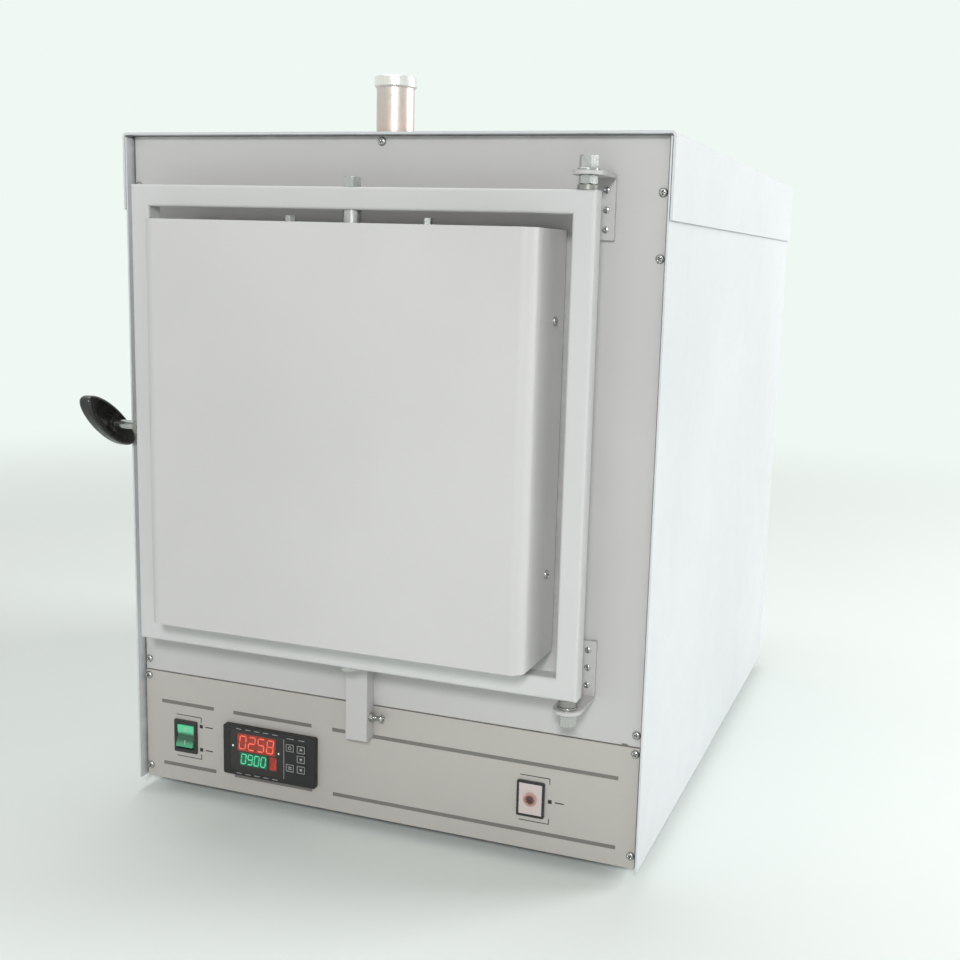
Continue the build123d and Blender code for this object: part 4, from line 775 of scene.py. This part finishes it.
def hex_solid(bm, place, flats, height, bore=0.0, chamfer_foot=False):
    """A hexagon head or nut with its corners turned off at an angle, with a bore for a nut."""
    steps = 48
    inner = flats / 2

    def rim(angle):
        return inner / cos((angle % (pi / 3)) - pi / 6)

    def loop(radius_of, height_of):
        return [bm.verts.new(place @ Vector((radius_of(a) * cos(a), radius_of(a) * sin(a), height_of(a))))
                for a in (2 * pi * i / steps for i in range(steps))]

    def drop(angle):
        return (rim(angle) - inner * 0.97) * tan(radians(hex_chamfer))

    foot = drop if chamfer_foot else (lambda angle: 0.0)
    face = (lambda angle: inner * 0.97)
    loops = []
    if chamfer_foot:
        loops.append(loop(face, lambda angle: 0.0))
    loops.append(loop(rim, foot))
    loops.append(loop(rim, lambda angle: height - drop(angle)))
    loops.append(loop(face, lambda angle: height))
    if bore:
        loops.append(loop(lambda angle: bore, lambda angle: height))
        loops.append(loop(lambda angle: bore, lambda angle: 0.0))
        loops.append(loops[0])
    for lower, upper in zip(loops, loops[1:]):
        for i in range(steps):
            bm.faces.new((lower[i], lower[(i + 1) % steps], upper[(i + 1) % steps], upper[i]))
    if not bore:
        bm.faces.new(loops[0])
        bm.faces.new(loops[-1])


def threaded(bm, place, radius, length, pitch):
    """A threaded shank: a turned row of crests and roots with a chamfered end."""
    depth = pitch * 0.55
    profile = [(0, 0), (radius - depth, 0)]
    turns = int(length / pitch)
    for turn in range(turns):
        start = length * (turn + 0.12) / turns
        profile += [(radius - depth, start), (radius, start + pitch * 0.35), (radius, start + pitch * 0.5)]
    profile += [(radius - depth, length), (0, length)]
    lathe(bm, profile, place, 28)


def washer(bm, place, radius, bore, thickness):
    """A washer or sleeve with softened outer edges."""
    soft = min(0.3 * mm, thickness / 3)
    profile = [(bore, 0), (radius - soft, 0), (radius, soft), (radius, thickness - soft),
               (radius - soft, thickness), (bore, thickness)]
    lathe(bm, profile, place, 40, ring=True)


def front_fasteners():
    """The screws of the front plate, panel and switch cover, and the rivets of the hinge brackets."""
    bm = bmesh.new()
    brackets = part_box("hinge_brackets")
    for index, (low, high) in enumerate(solids_of("front_screws")):
        size = high - low
        centre = (low + high) / 2
        if size.x > size.z * 1.3:
            side_clamp(bm, low, high)
        elif brackets[0].x < centre.x < brackets[1].x:
            seat = Vector((centre.x, brackets[1].y - bracket_sheet, centre.z))
            rivet_head(bm, facing(seat, (0, -1, 0)), size.x / 2, rivet_height)
        else:
            seat = Vector((centre.x, low.y + head_height, centre.z))
            pan_head(bm, facing(seat, (0, -1, 0)), 0.35 + 0.9 * index)
    stand_in("front_fasteners", bm, "zinc_steel", "casing", "front_screws")


def side_clamp(bm, low, high):
    """The screw that holds the switch cover, with its lock nut against the cover's side."""
    centre = (low + high) / 2
    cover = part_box("switch_cover")[1].x
    sideways = (1, 0, 0)
    foot = facing(Vector((cover, centre.y, centre.z)), sideways)
    hex_solid(bm, foot, clamp_nut_flats, clamp_nut_height)
    threaded(bm, foot, screw_radius, high.x - head_height - cover, clamp_pitch)
    pan_head(bm, facing(Vector((high.x - head_height, centre.y, centre.z)), sideways), 0.6)


def door_fasteners():
    """The leaf's pan screws on its sides, and its hexagon bolts above and below."""
    bm = bmesh.new()
    middle = middle_of("door_cover")
    for index, (low, high) in enumerate(solids_of("door_cover_screws")):
        size, centre = high - low, (low + high) / 2
        axis = 0 if size.x > size.z else 2
        sign = 1 if centre[axis] > middle[axis] else -1
        outward = Vector((0, 0, 0))
        outward[axis] = sign
        rise = head_height if axis == 0 else edge_bolt_rise
        seat = centre.copy()
        seat[axis] = (high if sign > 0 else low)[axis] - sign * rise
        if axis == 0:
            pan_head(bm, facing(seat, outward), 0.2 + 0.7 * index)
        else:
            washer(bm, facing(seat, outward), edge_washer_radius, screw_radius, edge_washer_height)
            foot = facing(seat + outward * edge_washer_height, outward)
            head = foot @ Matrix.Rotation(0.3 * index, 4, "Z")
            hex_solid(bm, head, edge_bolt_flats, edge_bolt_rise - edge_washer_height)
    stand_in("door_fasteners", bm, "zinc_steel", "door_leaf", "door_cover_screws")


def rear_fasteners():
    """The rear panel's screws, and the earth stud with its nuts and washer."""
    bm = bmesh.new()
    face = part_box("rear_panel")[1].y - louvre_proud
    for index, (low, high) in enumerate(solids_of("rear_screws")):
        centre = (low + high) / 2
        if high.y - low.y < stud_shortest:
            seat = Vector((centre.x, high.y - head_height, centre.z))
            pan_head(bm, facing(seat, (0, 1, 0)), 0.5 * index)
        else:
            place = facing(Vector((centre.x, face, centre.z)), (0, 1, 0))
            washer(bm, place, stud_washer_radius, stud_radius, stud_washer_height)
            nut = place @ Matrix.Translation((0, 0, stud_washer_height))
            hex_solid(bm, nut, stud_nut_flats, stud_nut_height, stud_radius, chamfer_foot=True)
            threaded(bm, place, stud_radius, high.y - face, stud_pitch)
    stand_in("rear_fasteners", bm, "zinc_steel", "casing", "rear_screws")


def upright_bolts(node, upper_head, lower_head):
    """Bolts on one upright axis: the upper one's head on top, the lower one's underneath."""
    bm = bmesh.new()
    centre = middle_of(node)
    for low, high in solids_of(node):
        upper = low.z > centre.z
        head = upper_head if upper else lower_head
        seat = high.z - head if upper else low.z + head
        inner = low.z if upper else high.z
        outward = (0, 0, 1) if upper else (0, 0, -1)
        hex_solid(bm, facing(Vector((centre.x, centre.y, seat)), outward), bolt_flats, head)
        shank = facing(Vector((centre.x, centre.y, inner)), outward)
        threaded(bm, shank, bolt_radius, abs(seat - inner), bolt_pitch)
    return bm


def hinge_set():
    """Bolts, nut and washers of both hinges, standing on the brackets."""
    bolts = upright_bolts("hinge_bolts", hinge_head_height, hinge_head_height)
    stand_in("hinge_bolt_set", bolts, "zinc_steel", "casing", "hinge_bolts")
    centre = middle_of("hinge_bolts")
    rings = bmesh.new()
    for low, high in solids_of("hinge_washers"):
        place = Matrix.Translation((centre.x, centre.y, low.z))
        height = high.z - low.z
        if height > hinge_washer_thickest:
            hex_solid(rings, place, bolt_flats, height, bolt_radius, chamfer_foot=True)
        else:
            washer(rings, place, hinge_washer_radius, bolt_radius, height)
    stand_in("hinge_ring_set", rings, "zinc_steel", "casing", "hinge_washers")


def pivot_set():
    """The leaf's pivot bolts, with their nuts and spacer sleeves."""
    bolts = upright_bolts("pivot_bolts", pivot_head_height, pivot_foot_height)
    stand_in("pivot_bolt_set", bolts, "zinc_steel", "door_frame", "pivot_bolts")
    centre = middle_of("pivot_bolts")
    nuts = bmesh.new()
    for low, high in solids_of("pivot_nuts"):
        place = Matrix.Translation((centre.x, centre.y, low.z))
        height = high.z - low.z
        if abs(height - pivot_nut_height) < 0.2 * mm:
            hex_solid(nuts, place, bolt_flats, height, bolt_radius, chamfer_foot=True)
        else:
            washer(nuts, place, pivot_sleeve_radius, bolt_radius, height)
    stand_in("pivot_nut_set", nuts, "zinc_steel", "door_frame", "pivot_nuts")


# Heaters and seal


def hairpin_line(low, high, back):
    """The middle line of one hairpin, as points and the directions across it, at even steps."""
    x = (low.x + high.x) / 2
    reach = coil_radius + coil_wire_radius
    front, bottom, crown = low.y + reach, low.z + reach, high.z - reach
    level, upright = back - front - coil_bend, crown - bottom - 2 * coil_bend
    bend = ("arc", coil_bend * pi / 2)
    runs = [("line", level), bend, ("line", upright), bend, ("line", level)]
    place, heading = Vector((x, back, bottom)), pi
    points = []
    spacing = coil_pitch / coil_turn_points
    for kind, length in runs:
        steps = max(1, round(length / spacing))
        for step in range(steps):
            along = length * step / steps
            if kind == "line":
                point, angle = place + Vector((0, cos(heading), sin(heading))) * along, heading
            else:
                angle = heading - along / coil_bend
                hub = place + Vector((0, sin(heading), -cos(heading))) * coil_bend
                point = hub + Vector((0, -sin(angle), cos(angle))) * coil_bend
            points.append((point, Vector((0, -sin(angle), cos(angle)))))
        if kind == "line":
            place = place + Vector((0, cos(heading), sin(heading))) * length
        else:
            hub = place + Vector((0, sin(heading), -cos(heading))) * coil_bend
            heading -= pi / 2
            place = hub + Vector((0, -sin(heading), cos(heading))) * coil_bend
    return points


def heater_coils():
    """Coiled resistance wire lying in the side boards' channels, with straight ends out of the back."""
    bm = bmesh.new()
    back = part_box("chamber_back")[0].y - coil_back_gap
    for low, high in solids_of("heater_coils"):
        line = hairpin_line(low, high, back)
        helix = []
        for index, (point, across) in enumerate(line):
            angle = 2 * pi * index / coil_turn_points
            helix.append(point + (Vector((cos(angle), 0, 0)) + across * sin(angle)) * coil_radius)
        tube(bm, helix, coil_wire_radius, 5)
        for point, across in (line[0], line[-1]):
            tail = [Vector((point.x, y, point.z)) for y in (back - tail_overlap, high.y)]
            tube(bm, tail, tail_radius, 10)
    stand_in("heater_wires", bm, "coil_wire", "casing", "heater_coils", 60)


def rope_seal():
    """A braided rope, pressed flat, lying round the plug."""
    bm = bmesh.new()
    low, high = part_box("door_seal")
    strand = seal_strand_radius
    half_width, half_depth = seal_half_width - strand, (high.y - low.y) / 2 - strand
    centre = (low + high) / 2
    path_x, path_z = high.x - low.x - 2 * seal_half_width, high.z - low.z - 2 * seal_half_width
    outline = [Vector(point) for point in rectangle(path_x, path_z, seal_corner, 8)]
    outline.append(outline[0])
    lengths = [(b - a).length for a, b in zip(outline, outline[1:])]
    total = sum(lengths)
    count = round(total / seal_pitch) * seal_turn_points

    def at(distance):
        """The point at a distance along the seal's path, and the direction there."""
        distance %= total
        for a, b, length in zip(outline, outline[1:], lengths):
            if distance <= length:
                return a + (b - a) * (distance / length), (b - a).normalized()
            distance -= length
        return outline[0], (outline[1] - outline[0]).normalized()

    for way in (-1, 1):
        for number in range(seal_strands):
            points = []
            for step in range(count + 1):
                spot, along = at(total * step / count)
                across = Vector((-along.y, along.x))
                angle = way * 2 * pi * step / seal_turn_points + 2 * pi * number / seal_strands
                side = across * (half_width * cos(angle))
                flatter = 1 - seal_weave * (1 - sin(angle * seal_strands / 2 + way))
                lift = sin(angle) * half_depth * flatter
                points.append(centre + Vector((spot.x + side.x, lift, spot.y + side.y)))
            tube(bm, points, strand, 6)
    stand_in("braided_seal", bm, "seal_rope", "door_leaf", "door_seal", 70)


# Control panel


def panel_print():
    """The printed stripes, and the thin marks beside the switch and the lamp."""
    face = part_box("control_panel")[0].y
    bm = bmesh.new()
    for z, runs in stripe_rows.items():
        for start, end in runs:
            outline = rectangle((end - start) * mm, stripe_height * mm, stripe_round * mm, 2)
            prism(bm, outline, to_front((start + end) / 2 * mm, face, z * mm), print_thickness)
    piece("panel_stripes", bm, printed, "casing")

    marks = bmesh.new()
    for node, squares in square_places.items():
        sizes = [(x, z, square_size, square_size) for x, z in squares]
        sizes += [(x + dash_offset, z, dash_length, dash_height) for x, z in squares]
        sizes += [(x, side * z, width, height) for side in (-1, 1) for x, z, width, height in bracket_strokes]
        strips(marks, middle_of(node), face, sizes, print_thickness)
    piece("panel_marks", marks, printed_black, "casing")


def segment_outline(name, width, height, stroke):
    """One bar of a seven-segment figure, as a slim hexagon in its place."""
    half, quarter = width / 2, height / 4
    gap = stroke * bar_gap_share
    middles = {"a": (0, 2 * quarter), "g": (0, 0), "d": (0, -2 * quarter), "f": (-half, quarter),
               "b": (half, quarter), "e": (-half, -quarter), "c": (half, -quarter)}
    x, z = middles[name]
    flat = name in "agd"
    reach = (width if flat else height / 2) / 2 - gap
    t = stroke / 2
    shape = [(-reach, 0), (-reach + t, -t), (reach - t, -t), (reach, 0), (reach - t, t), (-reach + t, t)]
    if not flat:
        shape = [(-v, u) for u, v in shape]
    return [(x + u + (z + v) * display_slant, z + v) for u, v in shape]


def figures(name, row, lit_finish, dim_finish, y):
    """One row of the display: the lit bars of its figures, over the dim ones."""
    centre = middle_of("controller_bezel")
    lit_bars, dim_bars = bmesh.new(), bmesh.new()
    sizes = [size * mm for size in row["bar"]]
    for index, figure in enumerate(row["shows"]):
        x = centre.x + (row["x"] + (index - (len(row["shows"]) - 1) / 2) * row["pitch"]) * mm
        place = to_front(x, y, centre.z + row["z"] * mm)
        for bar in "abcdefg":
            on = bar in segments_lit[figure]
            bars, thickness = (lit_bars, lit_bar_thickness) if on else (dim_bars, dim_bar_thickness)
            prism(bars, segment_outline(bar, *sizes), place, thickness)
    piece(name + "_figures", lit_bars, lit_finish, "casing")
    piece(name + "_unlit_bars", dim_bars, dim_finish, "casing")


def display():
    """Everything behind the controller's window that glows."""
    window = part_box("controller_window")[0].y
    centre = middle_of("controller_bezel")
    looks = {"reading": (red_digit, red_glow), "setting": (green_digit, green_glow),
             "stage": (dark_red_digit, red_glow)}
    for name, row in display_rows.items():
        bm = bmesh.new()
        width, height = row["glow"]
        place = to_front(centre.x + row["x"] * mm, window, centre.z + row["z"] * mm)
        prism(bm, rectangle(width * mm, height * mm, glow_round), place, glow_thickness)
        piece(name + "_glow", bm, looks[name][1], "casing")
    for name, row in display_rows.items():
        figures(name, row, *looks[name], window - glow_thickness)
    bm = bmesh.new()
    for x, z in status_lamps:
        place = to_front(centre.x + x * mm, window, centre.z + z * mm)
        lathe(bm, [(radius * mm, height * mm) for radius, height in status_lamp_profile], place, 20)
    piece("status_lamps", bm, small_lamp, "casing")


def bezel_print():
    """Short label strokes round the window, and the line between the window and the keys."""
    bm = bmesh.new()
    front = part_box("controller_bezel")[0].y
    strips(bm, middle_of("controller_bezel"), front, bezel_strokes, bezel_print_thickness)
    piece("bezel_labels", bm, key_mark, "casing")


def key_symbols():
    """Outlines and simple signs on the five keys: arrows, a ring and bars."""
    for number, sign in key_signs.items():
        low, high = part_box(f"key_{number}")
        centre = (low + high) / 2
        place = to_front(centre.x, low.y, centre.z)
        bm = bmesh.new()
        width, height = high.x - low.x - 2 * key_line, high.z - low.z - 2 * key_line
        for way in (-1, 1):
            level = rectangle(width, key_line, centre=(0, way * height / 2))
            upright = rectangle(key_line, height - key_line, centre=(way * width / 2, 0))
            prism(bm, level, place, bezel_print_thickness)
            prism(bm, upright, place, bezel_print_thickness)
        if sign == "ring":
            flat_ring(bm, place, *key_ring, key_sign_thickness)
        elif sign == "bars":
            for way in (-1, 1):
                outline = rectangle(*key_bar, centre=(0, way * key_bar_offset))
                prism(bm, outline, place, key_sign_thickness)
        else:
            turn = {"up": 0, "down": pi, "left": pi / 2}[sign]
            angles = [turn + pi / 2 + corner * 2 * pi / 3 for corner in range(3)]
            outline = [(key_arrow * cos(angle), key_arrow * sin(angle)) for angle in angles]
            prism(bm, outline, place, key_sign_thickness)
        piece(f"key_{number}_sign", bm, key_mark, f"key_{number}")


def lamp_jewel():
    """The lamp's lens: a stepped rim round a low fluted dome."""
    low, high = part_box("lamp_lens")
    centre = (low + high) / 2
    reach, rise = (high.x - low.x) / 2, high.y - low.y
    place = to_front(centre.x, high.y, centre.z)
    bm = bmesh.new()
    loops = []
    for share, height in jewel_rings:
        loop = []
        depth = flute_depth * (1 - abs(2 * share - 1.1)) if share < flute_reach else 0.0
        for step in range(jewel_steps):
            angle = 2 * pi * step / jewel_steps
            lift = rise * (height + depth * cos(jewel_flutes * angle))
            point = Vector((reach * share * cos(angle), reach * share * sin(angle), lift))
            loop.append(bm.verts.new(place @ point))
        loops.append(loop)
    for lower, upper in zip(loops, loops[1:]):
        for i in range(jewel_steps):
            after = (i + 1) % jewel_steps
            bm.faces.new((lower[i], lower[after], upper[after], upper[i]))
    tip = bm.verts.new(place @ Vector((0, 0, rise)))
    for i in range(jewel_steps):
        bm.faces.new((loops[-1][i], loops[-1][(i + 1) % jewel_steps], tip))
    bm.faces.new(loops[0])
    stand_in("lamp_jewel", bm, "lamp_red", "casing", "lamp_lens", 40)


def rocker_marks():
    """I and O on the two faces of the rocker."""
    centre = middle_of("rocker_housing")
    pivot = Vector((centre.x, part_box("control_panel")[0].y + rocker_pivot_depth, centre.z))
    tilt = Matrix.Translation(pivot) @ Matrix.Rotation(radians(rocker_rest_tilt), 4, "X")
    end = (rocker_radius**2 - rocker_crest**2) ** 0.5
    across = Vector((1, 0, 0))
    bm = bmesh.new()
    for side in (-1, 1):
        near, far = Vector((0, -rocker_valley, 0)), Vector((0, -rocker_crest, side * end))
        spot = near.lerp(far, rocker_sign_share)
        up = (far - near).normalized() * side
        place = Matrix((across, up, across.cross(up))).transposed().to_4x4()
        place = tilt @ Matrix.Translation(spot) @ place
        if side > 0:
            flat_ring(bm, place, *rocker_ring, print_thickness)
        else:
            prism(bm, rectangle(*rocker_bar), place, print_thickness)
    piece("rocker_signs", bm, key_mark, "power_rocker")


# Stage


def seen_directly(tree):
    """1 for rays from the camera and for mirrored or clear ones, 0 for those that light the object."""
    path = add(tree, "LightPath").outputs
    mirrored = maths(tree, "MAXIMUM", path["Is Glossy Ray"], path["Is Transmission Ray"])
    return maths(tree, "MAXIMUM", path["Is Camera Ray"], mirrored)


def studio():
    """The floor, the world and the lamps."""
    world = bpy.data.worlds.new("studio")
    bpy.context.scene.world = world
    world.use_nodes = True
    tree = world.node_tree
    tree.nodes.clear()
    shown = add(tree, "Background", {"Color": linear(backdrop_colour), "Strength": 1.0}).outputs[0]
    light = add(tree, "Background", {"Color": linear(world_tint), "Strength": world_light}).outputs[0]
    blend = add(tree, "MixShader", {0: seen_directly(tree), 1: light, 2: shown}).outputs[0]
    tree.links.new(blend, add(tree, "OutputWorld").inputs["Surface"])

    material, tree, shader = new_finish("floor", 0.9)
    first, second = (linear(colour) for colour in floor_colours)
    tone = mix(tree, noise(tree, surface_point(tree), 3.0), first, second)
    tree.links.new(tone, shader["Base Color"])
    distance = add(tree, "VectorMath", {0: surface_point(tree)}, operation="LENGTH").outputs["Value"]
    fade = maths(tree, "MULTIPLY", seen_directly(tree), spread(tree, distance, *floor_fade))
    near = tree.nodes["Principled BSDF"].outputs[0]
    far = add(tree, "Emission", {"Color": linear(backdrop_colour), "Strength": 1.0}).outputs[0]
    blend = add(tree, "MixShader", {0: fade, 1: near, 2: far}).outputs[0]
    tree.links.new(blend, tree.nodes["Material Output"].inputs["Surface"])

    bm = bmesh.new()
    bmesh.ops.create_circle(bm, cap_ends=True, radius=floor_reach, segments=64)
    mesh = bpy.data.meshes.new("floor")
    bm.to_mesh(mesh)
    bm.free()
    floor_piece = bpy.data.objects.new("floor", mesh)
    mesh.materials.append(material)
    bpy.context.scene.collection.objects.link(floor_piece)

    for name, lamp in lamps.items():
        light = bpy.data.lights.new(name, "AREA")
        light.shape = "SQUARE"
        light.size = lamp["size"]
        light.energy = lamp["power"]
        obj = bpy.data.objects.new(name, light)
        obj.location = lamp["place"]
        aim = Vector(lamp["aim"]) - Vector(lamp["place"])
        obj.rotation_euler = aim.to_track_quat("-Z", "Y").to_euler()
        bpy.context.scene.collection.objects.link(obj)


def camera():
    """The camera, where the photograph was taken from."""
    lens = bpy.data.cameras.new("camera")
    lens.lens = camera_lens
    lens.sensor_width = 36
    lens.shift_x = camera_shift
    lens.clip_start = 0.05
    obj = bpy.data.objects.new("camera", lens)
    obj.location = camera_place
    obj.rotation_euler = [radians(angle) for angle in camera_turn]
    bpy.context.scene.collection.objects.link(obj)
    bpy.context.scene.camera = obj


camera()
studio()
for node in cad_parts.values():
    for holder in node.material_slots:
        holder.material = finishes[holder.material.name.split(".")[0]]
front_fasteners()
door_fasteners()
rear_fasteners()
hinge_set()
pivot_set()
heater_coils()
rope_seal()
panel_print()
display()
bezel_print()
key_symbols()
rocker_marks()
lamp_jewel()

bpy.context.scene.view_settings.view_transform = "Standard"
